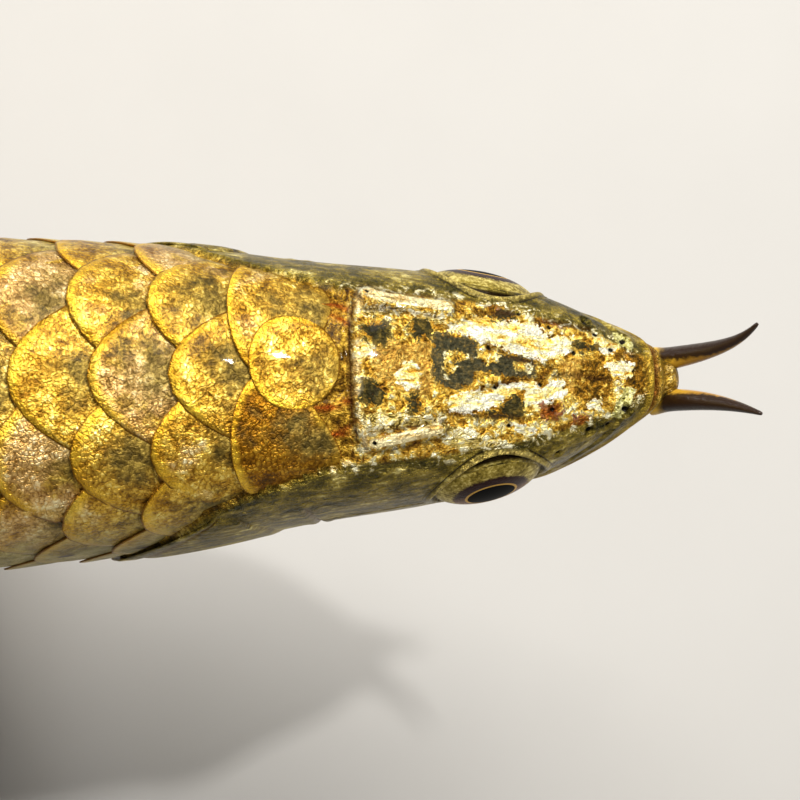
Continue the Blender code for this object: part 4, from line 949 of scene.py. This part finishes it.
def join_plates(name, parts):
    """Many plates as one mesh, each with its own values and its own patch of the unwrapped skin."""
    models, spots, values, top_patches, low_patches = zip(*parts)
    starts = np.cumsum([0] + [len(part) for part in spots])
    faces = [tuple(k + int(start) for k in face) for model, start in zip(models, starts) for face in model[1]]
    mesh = bpy.data.meshes.new(name)
    mesh.from_pydata(np.concatenate(spots).tolist(), [], faces)
    piece = bpy.data.objects.new(name, mesh)
    bpy.context.scene.collection.objects.link(piece)
    for key in values[0]:
        mark(piece, key, np.concatenate([part[key] for part in values]))
    corner = np.empty(len(mesh.loops), int)
    mesh.loops.foreach_get("vertex_index", corner)
    beneath = np.concatenate([model[2] for model in models])
    patches = np.where(beneath[:, None], np.concatenate(low_patches)[corner], np.concatenate(top_patches)[corner])
    mesh.uv_layers.new(name="OFBake").data.foreach_set("uv", patches.ravel())
    mesh.shade_smooth()
    return piece


def scale_finish():
    """Gold mosaic plate: orange-gold rim edged with a thin dark line of painted shade, dusky towards the head, pale low
    down.
    """
    f = Finish("scale_gold", coat_weight=0.05, coat_roughness=0.03, specular_ior_level=0.15)
    crack = f.step(f.cells(0.00078, feature="DISTANCE_TO_EDGE", wobble=0.00035), 0.0, 0.22)
    tile = f.add("SeparateColor", {0: f.cells(0.00078, output=1, wobble=0.00035)})
    crumbs = f.grain(0.00050, detail=2, rough=0.5, hard=0.24)
    flakes = f.grain(0.0022, detail=5, rough=0.62, swirl=0.4)
    clouds = f.grain(0.0055, detail=4, rough=0.6)
    streaks = f.grain(0.0016, detail=4, stretch=(1, 0.35, 0.35))
    ring, tip, across, flank = (f.reading(n) for n in ("ring", "tipward", "across", "flank"))
    shade, tint = f.reading("shade"), f.reading("tint")
    sparkle = f.sum((tile, 0.20), (crumbs, 0.30), (flakes, 0.42), (f.times(crack, clouds), 0.26), (clouds, 0.14), -0.14)
    gold = f.ramp(sparkle, (0.15, (0.17, 0.072, 0.003)), (0.38, (0.44, 0.23, 0.018)), (0.60, (0.76, 0.48, 0.062)),
                  (0.80, (1.0, 0.80, 0.22)), (0.95, (1.0, 0.97, 0.60)))
    rosy = f.ramp(sparkle, (0.2, (0.28, 0.135, 0.028)), (0.55, (0.68, 0.42, 0.140)), (0.9, (1.0, 0.86, 0.50)))
    amber = f.ramp(sparkle, (0.2, (0.085, 0.030, 0.001)), (0.55, (0.30, 0.125, 0.004)), (0.9, (0.62, 0.34, 0.030)))
    colour = f.mix(f.step(f.sum((tint, 0.7), (clouds, 0.65)), 0.60, 0.95), gold, rosy)
    # Partly painted shade: the right-hand nape scale takes the darker amber, its own brown deepened as for the shaded
    # side.
    colour = f.mix(f.reading("brownness"), colour, amber)
    olive = f.ramp(f.sum((crumbs, 0.35), (flakes, 0.35), (tile, 0.30)), (0.15, (0.034, 0.028, 0.006)),
                   (0.5, (0.125, 0.090, 0.018)), (0.85, (0.44, 0.31, 0.065)))
    middle = f.sum((tip, 1.5), 1.30, (shade, 0.25))
    reach = f.add("Math", {0: f.sum(f.times(middle, middle), f.times(across, f.times(across, 2.6)))}, operation="SQRT")
    dusk = f.step(f.sum((reach, 1.0), (clouds, 0.75), (flakes, 0.40), (shade, 0.35)), 1.78, 0.80)
    colour = f.mix(f.times(dusk, 0.85), colour, olive)
    pale = f.ramp(f.sum((streaks, 0.25), (crumbs, 0.15), (flakes, 0.20), (clouds, 0.40)), (0.15, (0.11, 0.094, 0.020)),
                  (0.5, (0.27, 0.228, 0.058)), (0.85, (0.52, 0.45, 0.155)))
    low = f.step(f.sum((flank, 1.0), (clouds, 0.10)), 0.24, 0.42)
    colour = f.mix(f.times(low, 0.85), colour, pale)
    colour = f.mix(f.step(flank, 0.80, 0.97), colour, (0.62, 0.55, 0.38))
    edge = f.sum((ring, 1.0), (clouds, 0.12), (flakes, 0.04))
    deep = f.mix(low, (0.60, 0.27, 0.006), (0.36, 0.23, 0.035))
    light = f.mix(low, (1.0, 0.68, 0.060), (0.62, 0.47, 0.12))
    behind = f.sum(0.25, (f.step(tip, -0.62, -0.30), 0.75))
    rim = f.times(f.step(edge, 0.84, 1.02), behind)
    colour = f.mix(f.times(rim, 0.90), colour, f.mix(f.sum((clouds, 0.6), (flakes, 0.4)), deep, light))
    # Painted shade: a thin dark brown line along the plate's edge, where it lies over the next scale.
    outline = f.step(f.sum((ring, 1.0), (flakes, 0.020)), 0.975, 1.0)
    colour = f.mix(f.times(outline, 0.80), colour, (0.22, 0.075, 0.003))
    spot = f.sum((f.times(across, across), 150.0), (f.times(f.sum((tip, 1.0), 0.42), f.sum((tip, 1.0), 0.42)), 60.0))
    pore = f.times(f.reading("line"), f.step(spot, 1.0, 0.5))
    tube = f.times(f.reading("line"), f.times(f.step(f.times(across, across), 0.014, 0.0), f.step(tip, -0.36, -0.60)))
    colour = f.mix(f.times(tube, 0.30), colour, (0.66, 0.56, 0.26))
    colour = f.mix(pore, colour, (0.045, 0.018, 0.004))
    f.drive("Base Color", colour)
    f.drive("Metallic", f.sum(0.72, (dusk, -0.36), (low, -0.28)))
    f.drive("Roughness", f.sum(0.26, (crumbs, 0.14), (dusk, 0.10)))
    f.bumps((crack, 0.00006), (flakes, 0.00022), (crumbs, 0.00007))
    return f


scale_gold = scale_finish()
for part_name, parts in plates.items():
    scales = join_plates(part_name, parts)
    dress(scales, scale_gold)
    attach(scales, "root")


# Eyes
# Each eyeball is a flattened clear-fronted globe with a bronze iris round a black pupil. It sits in a
# ring of folded skin that grows out of the head.
PUPIL_SHARE = 0.42


def upward_in(matrix):
    """The direction in an eye's own plane that points up."""
    up = np.array(matrix)[2, :2]
    return up / np.linalg.norm(up)


def eyeball(side, word):
    bpy.ops.object.select_all(action="DESELECT")
    bpy.ops.mesh.primitive_uv_sphere_add(segments=72, ring_count=60, radius=1)
    ball = bpy.context.object
    ball.name = "eyeball_" + word
    unit = points_of(ball)
    ring = np.linalg.norm(unit[:, :2], axis=1)
    local = unit * (EYE_RADIUS, EYE_RADIUS, EYE_HALF_DEPTH)
    turn = np.array(eye_frames[side])
    spots = local @ turn[:3, :3].T + turn[:3, 3]
    ball.data.vertices.foreach_set("co", spots.ravel())
    mark(ball, "ring", np.where(unit[:, 2] > 0, ring, 1.2))
    mark(ball, "upward", unit[:, :2] @ upward_in(turn))
    close_up(ball)
    return ball


def eye_finish():
    """Black pupil in a thin gold ring, maroon and olive-gold iris, all under a clear wet front. The maroon band turns
    near black towards its top as painted shade under the lid.
    """
    f = Finish("eye", roughness=0.25, specular_ior_level=0.0, coat_weight=0.14, coat_roughness=0.02, coat_ior=1.25)
    ring, up = f.reading("ring"), f.reading("upward")
    fibres = f.grain(0.0006, detail=4, rough=0.7)
    clouds = f.grain(0.002, detail=3)
    # Painted shade: the maroon band round the pupil goes near black towards its top, as under the overhanging lid.
    inner = f.mix(f.step(f.sum((up, 1.0), (clouds, 0.2)), -0.25, 0.30), (0.22, 0.085, 0.012), (0.022, 0.0025, 0.0015))
    outer = f.ramp(f.sum((fibres, 0.6), (clouds, 0.4)), (0.15, (0.100, 0.072, 0.010)), (0.5, (0.34, 0.255, 0.045)),
                   (0.85, (0.82, 0.68, 0.22)))
    colour = f.mix(f.step(f.sum((ring, 1.0), (fibres, 0.05)), 0.66, 0.74), inner, outer)
    colour = f.mix(f.step(ring, 0.93, 0.98), colour, (0.010, 0.006, 0.002))
    lining = f.times(f.step(ring, PUPIL_SHARE - 0.01, PUPIL_SHARE + 0.01), f.step(ring, PUPIL_SHARE + 0.055, PUPIL_SHARE + 0.035))
    colour = f.mix(lining, colour, (0.62, 0.36, 0.060))
    colour = f.mix(f.step(ring, PUPIL_SHARE + 0.005, PUPIL_SHARE - 0.005), colour, (0.002, 0.002, 0.002))
    f.drive("Base Color", colour)
    f.drive("Metallic", f.times(f.step(ring, PUPIL_SHARE, PUPIL_SHARE + 0.02), 0.45))
    f.bumps((fibres, 0.00005))
    return f


LID_INNER, LID_OUTER = 0.90, 1.24  # in eye radii
LID_COLUMNS, LID_ROWS = 30, 120


def lid_shape(side):
    """Skin round the eye: a seam on the eyeball, a fold beyond it that is high above the eye, and the cheek."""
    matrix = np.array(eye_frames[side])
    places = np.linspace(0.02, 0.14, 400)
    shares = np.linspace(0.05, 0.75, 400)
    grid = np.stack(np.meshgrid(places, shares, indexing="ij"), axis=-1).reshape(-1, 2)
    skin_spots = on_skin(grid[:, 0], side * grid[:, 1])
    seen = in_frame(eye_frames[side], skin_spots)
    inside = (np.linalg.norm(seen[:, :2], axis=1) < EYE_RADIUS * (LID_OUTER + 0.3)) & (seen[:, 2] > -0.012)
    seen = seen[inside]

    def shape(along, across):
        turn = 2 * math.pi * across
        ring = LID_INNER + (LID_OUTER - LID_INNER) * along
        way = np.stack([np.cos(turn), np.sin(turn)], axis=1)
        flat_spots = way * (ring * EYE_RADIUS)[:, None]
        over = soft(way @ upward_in(matrix), -0.3, 0.55)
        depth = np.empty(len(ring))
        for i, spot in enumerate(flat_spots):
            away = np.sum((seen[:, :2] - spot) ** 2, axis=1)
            near = np.argpartition(away, 8)[:8]
            weight = 1 / (away[near] + 1e-9)
            depth[i] = np.sum(seen[near, 2] * weight) / np.sum(weight)
        ball = EYE_HALF_DEPTH * np.sqrt(1 - np.minimum(ring, 1) ** 2)
        seat = soft(ring, 1.03, 0.92)
        fold = (0.14 + (0.15 + 0.28 * over) * hump(ring - 1.075, 0.040) - 0.15 * over * hump(ring - 1.145, 0.020)
                - 0.75 * soft(ring, 1.17, LID_OUTER))
        height = (depth + fold * MM) * (1 - seat) + (ball + 0.05 * MM) * seat - 0.25 * MM * hump(ring - 0.985, 0.022)
        height -= 0.4 * MM * soft(ring, 0.925, LID_INNER)
        # Painted shade: near-black lines in the groove at the eyeball's seam and the groove above the fold, heaviest on
        # top under the fold.
        lid_values["line"] = np.minimum(1, (0.45 + 0.55 * over) * hump(ring - 0.985, 0.030)
                                        + over * hump(ring - 1.145, 0.016))
        lid_values["ridge"] = over * hump(ring - 1.085, 0.035)
        local = np.stack([flat_spots[:, 0], flat_spots[:, 1], height], axis=1)
        return local @ matrix[:3, :3].T + matrix[:3, 3]
    return shape


eye_look = eye_finish()
for side, word in ((1, "left"), (-1, "right")):
    ball = eyeball(side, word)
    dress(ball, eye_look)
    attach(ball, "root")
    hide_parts("eye_" + word)
    lid_values = {}
    lid = wrapped_grid("eye_folds_" + word, LID_COLUMNS, LID_ROWS, lid_shape(side))
    for value_name, value in lid_values.items():
        mark(lid, value_name, value)
    spots = points_of(lid)
    place = (SNOUT_X - spots[:, 0]) / BODY_LENGTH
    mark(lid, "behind", place)
    mark(lid, "beside", np.ones(len(place)))
    mark(lid, "flank", share_at(place, (spots[:, 2] - SNOUT_Z) / BODY_LENGTH))
    mark_head(lid, np.zeros(len(lid.data.vertices), bool))
    close_up(lid)
    dress(lid, head_skin)
    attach(lid, "root")


# Feelers
# Two soft tapered barbels grow from the tip of the lower jaw, near black on top with amber edges and
# yellow roots. They are moulded in one with their fleshy root.
BARBEL_LENGTH = 0.0235
BARBEL_RADIUS = 0.0018
BARBEL_SPACING = 0.0060
BARBEL_LEAN = 0.07  # how far both sway to the fish's right, in barbel lengths
BARBEL_CURL = 0.07  # how far the left one's tip curls outward


def barbel_shape(side):
    def shape(along, across):
        u = np.clip(along * 1.02 - 0.01, 0, 1)
        start = np.array([SNOUT_X - 0.006 * BODY_LENGTH, side * BARBEL_SPACING / 2, SNOUT_Z - 0.0145 * BODY_LENGTH])
        ahead = 0.58 * u + 0.08 * u * u
        rise = 0.38 * u + 0.28 * u * u
        curl = BARBEL_CURL if side > 0 else 0.0
        apart = side * (0.04 * u + 0.09 * u ** 3) - BARBEL_LEAN * u * u + curl * u ** 8
        centre = start + np.stack([ahead, apart, rise], axis=1) * BARBEL_LENGTH
        run = np.stack([0.58 + 0.16 * u, side * (0.04 + 0.27 * u * u) - 2 * BARBEL_LEAN * u + 8 * curl * u ** 7,
                        0.38 + 0.56 * u], axis=1)
        run /= np.linalg.norm(run, axis=1, keepdims=True)
        flat_side = np.cross(run, np.array([0, 0, 1.0]))
        flat_side /= np.linalg.norm(flat_side, axis=1, keepdims=True)
        top = np.cross(flat_side, run)
        radius = BARBEL_RADIUS * (1 - 0.84 * u ** 2) * (1 + 0.25 * hump(u, 0.12))
        radius = radius * np.sqrt(np.clip(along / 0.01, 0, 1)) * np.sqrt(np.clip((1 - along) / 0.02, 0, 1))
        turn = 2 * math.pi * across
        barbel_values["reach"] = u
        barbel_values["outward"] = side * flat_side[:, 1] * np.cos(turn) + 0.45 * np.sin(turn)
        return centre + (flat_side * np.cos(turn)[:, None] + top * np.sin(turn)[:, None] * 0.85) * radius[:, None]
    return shape


def barbel_finish():
    f = Finish("barbel", coat_weight=0.35, coat_roughness=0.04, specular_ior_level=0.3)
    blotch = f.noise(0.0012, detail=4)
    reach, away = f.reading("reach"), f.reading("outward")
    skin_tone = f.mix(f.step(f.sum(reach, (blotch, 0.2)), 0.15, 0.60), (0.70, 0.42, 0.030), (0.36, 0.180, 0.018))
    dark = f.times(f.step(f.sum(away, (blotch, 1.2), (reach, 1.3)), 0.75, 1.25),
                   f.step(f.sum(reach, (blotch, 0.15)), 0.14, 0.26))
    colour = f.mix(dark, skin_tone, (0.022, 0.009, 0.003))
    f.drive("Base Color", colour)
    f.drive("Roughness", f.sum(0.22, (blotch, 0.2)))
    f.bumps((blotch, 0.00012), (f.noise(0.0004), 0.00005))
    return f


barbel_look = barbel_finish()
for side, word in ((1, "left"), (-1, "right")):
    barbel_values = {}
    barbel = wrapped_grid("feeler_" + word, 70, 28, barbel_shape(side))
    for value_name, value in barbel_values.items():
        mark(barbel, value_name, value)
    close_up(barbel)
    dress(barbel, barbel_look)
    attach(barbel, "root")
    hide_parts("barbel_" + word)


# Fins
# Each fin is a thin amber membrane over bony rays that branch twice on their way to its edge. Membrane
# and rays are one closed blade with its root sunk in the body.
DORSAL = {"rays": 19, "start": 0.700, "end": 0.886, "length": 0.104, "lean": (60, 20)}
ANAL = {"rays": 25, "start": 0.622, "end": 0.890, "length": 0.108, "lean": (64, 20)}
TAIL_ROOT, CAUDAL_RAYS, CAUDAL_LENGTH = 0.971, 15, 0.150
CAUDAL_SPREAD = math.radians(33)
PECTORAL = {"rays": 7, "length": 0.245, "place": 0.250, "height": -0.139, "root": 0.020,
            "ways": ((-0.78, 0.20, -0.50), (-0.95, 0.02, -0.16)), "shares": (1.0, 0.42), "flare": 0.22}
PELVIC = {"rays": 6, "length": 0.088, "place": 0.497, "height": -0.172, "root": 0.018,
          "ways": ((-0.66, 0.34, -0.62), (-0.93, 0.10, -0.30)), "shares": (1.0, 0.60), "flare": 0.10}
FIN_BEND = math.radians(14)
ROOT_SUNK = 0.005
RAY_HALF, WEB_HALF = 0.62 * MM, 0.20 * MM


def median_ray(size, up):
    """Ray of the dorsal (up 1) or anal (up -1) fin at a share of its root, at shares of its length."""
    def ray(t, v):
        place = size["start"] + (size["end"] - size["start"]) * t
        edge = curve_through(BACK if up > 0 else BELLY, place)
        lean = np.radians(size["lean"][0] + (size["lean"][1] - size["lean"][0]) * t ** 1.3)
        share = 0.42 + 0.58 * np.sin(np.minimum(1, t / 0.52) * math.pi / 2) - 0.10 * np.maximum(0, t - 0.7) / 0.3
        length = size["length"] * BODY_LENGTH * share + ROOT_SUNK
        back_by = (np.sin(lean) - np.sin(lean - FIN_BEND * v)) / FIN_BEND * length
        rise = (np.cos(lean - FIN_BEND * v) - np.cos(lean)) / FIN_BEND * length
        wave = 0.0012 * v * v * np.sin(9 * t + 2)
        return np.stack([SNOUT_X - place * BODY_LENGTH - back_by, wave,
                         SNOUT_Z + edge * BODY_LENGTH + up * (rise - ROOT_SUNK)], axis=1)
    return ray


def caudal_ray(t, v):
    """Ray of the rounded tail fin."""
    t = 2 * t - 1
    top, low = curve_through(BACK, 0.975), curve_through(BELLY, 0.975)
    height = (top + low) / 2 + t * (top - low) / 2 * 0.86
    angle = t * CAUDAL_SPREAD * (1 - 0.25 * v)
    length = CAUDAL_LENGTH * BODY_LENGTH * (1 - 0.24 * t * t - 0.10 * t ** 8) * v
    wave = 0.0015 * v * v * np.sin(4 * t)
    return np.stack([SNOUT_X - TAIL_ROOT * BODY_LENGTH - np.cos(angle) * length, wave,
                     SNOUT_Z + height * BODY_LENGTH + np.sin(angle) * length], axis=1)


def paired_ray(size, side):
    """Ray of a pectoral or pelvic fin, a fan from a short root low on the side."""
    share = share_at(np.array([size["place"]]), size["height"])
    spot = on_skin(np.array([size["place"]]), share)[0]

    def ray(t, v):
        way = np.array(size["ways"][0]) * (1 - t[:, None]) + np.array(size["ways"][1]) * t[:, None]
        way /= np.linalg.norm(way, axis=1, keepdims=True)
        length = size["length"] * BODY_LENGTH * (size["shares"][0] + (size["shares"][1] - size["shares"][0]) * t ** 1.15)
        root = spot + np.stack([-size["root"] * BODY_LENGTH * (t - 0.5), 0 * t - 0.003, 0.006 * (t - 0.5)], axis=1)
        spots = root + way * (length * v - 0.002)[:, None]
        spots[:, 1] += size["flare"] * length * v * v * (1 - 0.5 * t)
        spots[:, 0] -= 0.05 * length * v * v
        spots[:, 1] *= side
        return spots
    return ray


def branch(t, v, rays):
    """Nearness to a ray, from 0 to 1. Each ray parts in two and then in four towards the edge."""
    offset = (t * (rays - 1) + 0.5) % 1 - 0.5
    first = 0.25 * soft(v, 0.30, 0.75)
    second = 0.12 * soft(v, 0.62, 1.0)
    away = np.abs(np.abs(np.abs(offset) - first) - second)
    return hump(away, 0.13 - 0.06 * v)


def fin_shape(ray, rays, values):
    """Both faces of a fin: across runs along the front face and back along the other."""
    def shape(along, across):
        t = np.clip(1 - np.abs(2 * across - 1), 0, 1)
        facing = np.where(across < 0.5, 1.0, -1.0)
        ridge = branch(t, along, rays)
        reach = along * (1 + 0.010 * (ridge - 0.5) * soft(along, 0.8, 1))
        spots = ray(t, reach)
        nearby = ray(np.clip(t + 0.01, 0, 1), reach) - ray(np.clip(t - 0.01, 0, 1), reach)
        ahead = ray(t, reach + 0.01) - ray(t, reach - 0.01)
        normal = np.cross(nearby, ahead)
        normal /= np.maximum(np.linalg.norm(normal, axis=1, keepdims=True), 1e-12)
        ends = np.sqrt(np.clip(t / 0.012, 0, 1) * np.clip((1 - t) / 0.012, 0, 1))
        tip = np.sqrt(np.clip((1 - along) / 0.02, 0, 1))
        half = (WEB_HALF + (RAY_HALF - WEB_HALF) * ridge * (1 - 0.55 * along)) * ends * tip
        values["ray"] = ridge
        values["reach"] = along
        values["spread"] = t
        return swayed(spots + normal * (half * facing)[:, None])
    return shape


def fin_finish(name, root, web, edge):
    f = Finish(name, coat_weight=0.10, coat_roughness=0.06, specular_ior_level=0.3)
    f.shader.inputs["Subsurface Weight"].default_value = 0.15
    f.shader.inputs["Subsurface Scale"].default_value = 0.004
    ridge, reach = f.reading("ray"), f.reading("reach")
    blotch = f.grain(0.007, detail=4)
    fibres = f.grain(0.0009, detail=3)
    joints = f.add("TexWave", {"Vector": f.add("CombineXYZ", {0: reach, 1: 0.0, 2: 0.0}), "Scale": 26.0,
                               "Distortion": 0.0}, output=1, wave_profile="SIN")
    colour = f.mix(f.step(f.sum(reach, (blotch, 0.18)), 0.05, 0.55), root, web)
    colour = f.mix(f.step(f.sum(reach, (blotch, 0.16), (fibres, 0.06)), 0.66, 1.06), colour, edge)
    colour = f.mix(f.times(fibres, 0.35), colour, edge)
    ray_tone = f.mix(f.step(reach, 0.1, 0.95), (0.86, 0.56, 0.13), (0.56, 0.22, 0.025))
    colour = f.mix(f.times(f.step(ridge, 0.25, 0.85), 0.85), colour, ray_tone)
    colour = f.mix(f.times(f.times(f.step(joints, 0.75, 0.95), f.step(ridge, 0.3, 0.7)), 0.5), colour, (0.16, 0.06, 0.010))
    f.drive("Base Color", colour)
    f.drive("Roughness", f.sum(0.30, (fibres, 0.12)))
    f.bumps((f.times(joints, ridge), 0.00014), (fibres, 0.00007))
    return f


dorsal_look = fin_finish("dorsal_fin_amber", (0.40, 0.22, 0.030), (0.20, 0.085, 0.012), (0.090, 0.032, 0.006))
lower_look = fin_finish("lower_fin_orange", (0.66, 0.40, 0.070), (0.46, 0.130, 0.012), (0.24, 0.040, 0.006))
fins = [("dorsal_fin", median_ray(DORSAL, 1), DORSAL["rays"], 9, 44, dorsal_look),
        ("anal_fin", median_ray(ANAL, -1), ANAL["rays"], 9, 44, lower_look),
        ("caudal_fin", caudal_ray, CAUDAL_RAYS, 10, 50, lower_look)]
for side, word in ((1, "left"), (-1, "right")):
    fins.append(("pectoral_fin_" + word, paired_ray(PECTORAL, side), PECTORAL["rays"], 14, 60, lower_look))
    fins.append(("pelvic_fin_" + word, paired_ray(PELVIC, side), PELVIC["rays"], 12, 34, lower_look))
for node, ray, rays, steps, columns, look in fins:
    fin_values = {}
    blade = wrapped_grid("fine_" + node, columns, 2 * steps * (rays - 1), fin_shape(ray, rays, fin_values))
    for value_name, value in fin_values.items():
        mark(blade, value_name, value)
    close_up(blade)
    dress(blade, look)
    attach(blade, "root")
    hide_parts(node)


# Stand
# A flat base of dark stained wood with a softened, grooved edge, and two turned steel rods that rise from
# round collars to the belly. The rods are screwed into the base from below.
base_low, base_high = (Vector(corner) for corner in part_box("stand_base"))
base_size = base_high - base_low


def wood_finish():
    f = Finish("stained_wood", coat_weight=0.35, coat_roughness=0.15)
    figure = f.noise(0.008, detail=5, rough=0.6, stretch=(0.08, 1, 1), swirl=0.6)
    pores = f.noise(0.0009, detail=3, stretch=(0.05, 1, 1))
    colour = f.mix(f.step(figure, 0.35, 0.68), (0.030, 0.014, 0.007), (0.095, 0.045, 0.020))
    colour = f.mix(f.times(f.step(pores, 0.55, 0.70), 0.6), colour, (0.010, 0.005, 0.003))
    f.drive("Base Color", colour)
    f.drive("Roughness", f.sum(0.30, (figure, 0.15), (pores, 0.15)))
    f.bumps((pores, 0.00010), (figure, 0.00008))
    return f


def steel_finish():
    f = Finish("brushed_steel", base_color=(0.58, 0.57, 0.55, 1), metallic=1.0)
    brushing = f.noise(0.0004, detail=3, stretch=(1, 1, 0.04))
    f.drive("Base Color", f.mix(brushing, (0.50, 0.49, 0.47), (0.66, 0.65, 0.63)))
    f.drive("Roughness", f.sum(0.20, (brushing, 0.22)))
    f.bumps((brushing, 0.00003))
    return f


bpy.ops.object.select_all(action="DESELECT")
bpy.ops.mesh.primitive_cube_add(size=1, location=(base_low + base_high) / 2, scale=base_size)
plinth = bpy.context.object
plinth.name = "plinth"
bpy.ops.object.transform_apply(location=True, rotation=False, scale=True)
bpy.ops.object.mode_set(mode="EDIT")
bpy.ops.mesh.select_all(action="DESELECT")
bpy.ops.object.mode_set(mode="OBJECT")
for face in plinth.data.polygons:
    face.select = face.normal.z > 0.9
bpy.ops.object.mode_set(mode="EDIT")
bpy.ops.mesh.inset(thickness=0.0045)
bpy.ops.mesh.inset(thickness=0.0009)
bpy.ops.transform.translate(value=(0, 0, -0.0008))
bpy.ops.mesh.inset(thickness=0.0009)
bpy.ops.transform.translate(value=(0, 0, 0.0008))
bpy.ops.object.mode_set(mode="OBJECT")
edges = plinth.modifiers.new("edges", "BEVEL")
edges.width = 0.0016
edges.segments = 4
edges.limit_method = "ANGLE"
edges.angle_limit = math.radians(50)
bpy.ops.object.modifier_apply(modifier="edges")
bpy.ops.object.shade_smooth_by_angle(angle=math.radians(35))
dress(plinth, wood_finish())
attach(plinth, "root")
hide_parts("stand_base")

steel = steel_finish()
ROD_RADIUS = 0.003
for word in ("front", "back"):
    low, high = (Vector(corner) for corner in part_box("stand_rod_" + word))
    middle = (low + high) / 2
    collar = (high.x - low.x) / 2
    profile = [(0.0, low.z), (collar, low.z), (collar, low.z + 0.0020), (collar - 0.0008, low.z + 0.0030),
               (ROD_RADIUS + 0.0010, low.z + 0.0030), (ROD_RADIUS, low.z + 0.0042), (ROD_RADIUS, high.z + 0.0015),
               (0.0, high.z + 0.0015)]
    rod_mesh = bpy.data.meshes.new("rod_" + word)
    rod_mesh.from_pydata([(middle.x + r, middle.y, z) for r, z in profile], [(i, i + 1) for i in range(len(profile) - 1)], [])
    rod = bpy.data.objects.new("rod_" + word, rod_mesh)
    bpy.context.scene.collection.objects.link(rod)
    bpy.ops.object.select_all(action="DESELECT")
    bpy.context.view_layer.objects.active = rod
    rod.select_set(True)
    bpy.ops.object.mode_set(mode="EDIT")
    bpy.ops.mesh.select_all(action="SELECT")
    bpy.ops.mesh.spin(steps=48, angle=2 * math.pi, center=middle, axis=(0, 0, 1))
    bpy.ops.object.mode_set(mode="OBJECT")
    close_up(rod)
    rod.select_set(True)
    edges = rod.modifiers.new("edges", "BEVEL")
    edges.width = 0.0003
    edges.segments = 2
    edges.limit_method = "ANGLE"
    bpy.ops.object.modifier_apply(modifier="edges")
    bpy.ops.object.shade_smooth_by_angle(angle=math.radians(35))
    dress(rod, steel)
    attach(rod, "root")
    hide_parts("stand_rod_" + word)
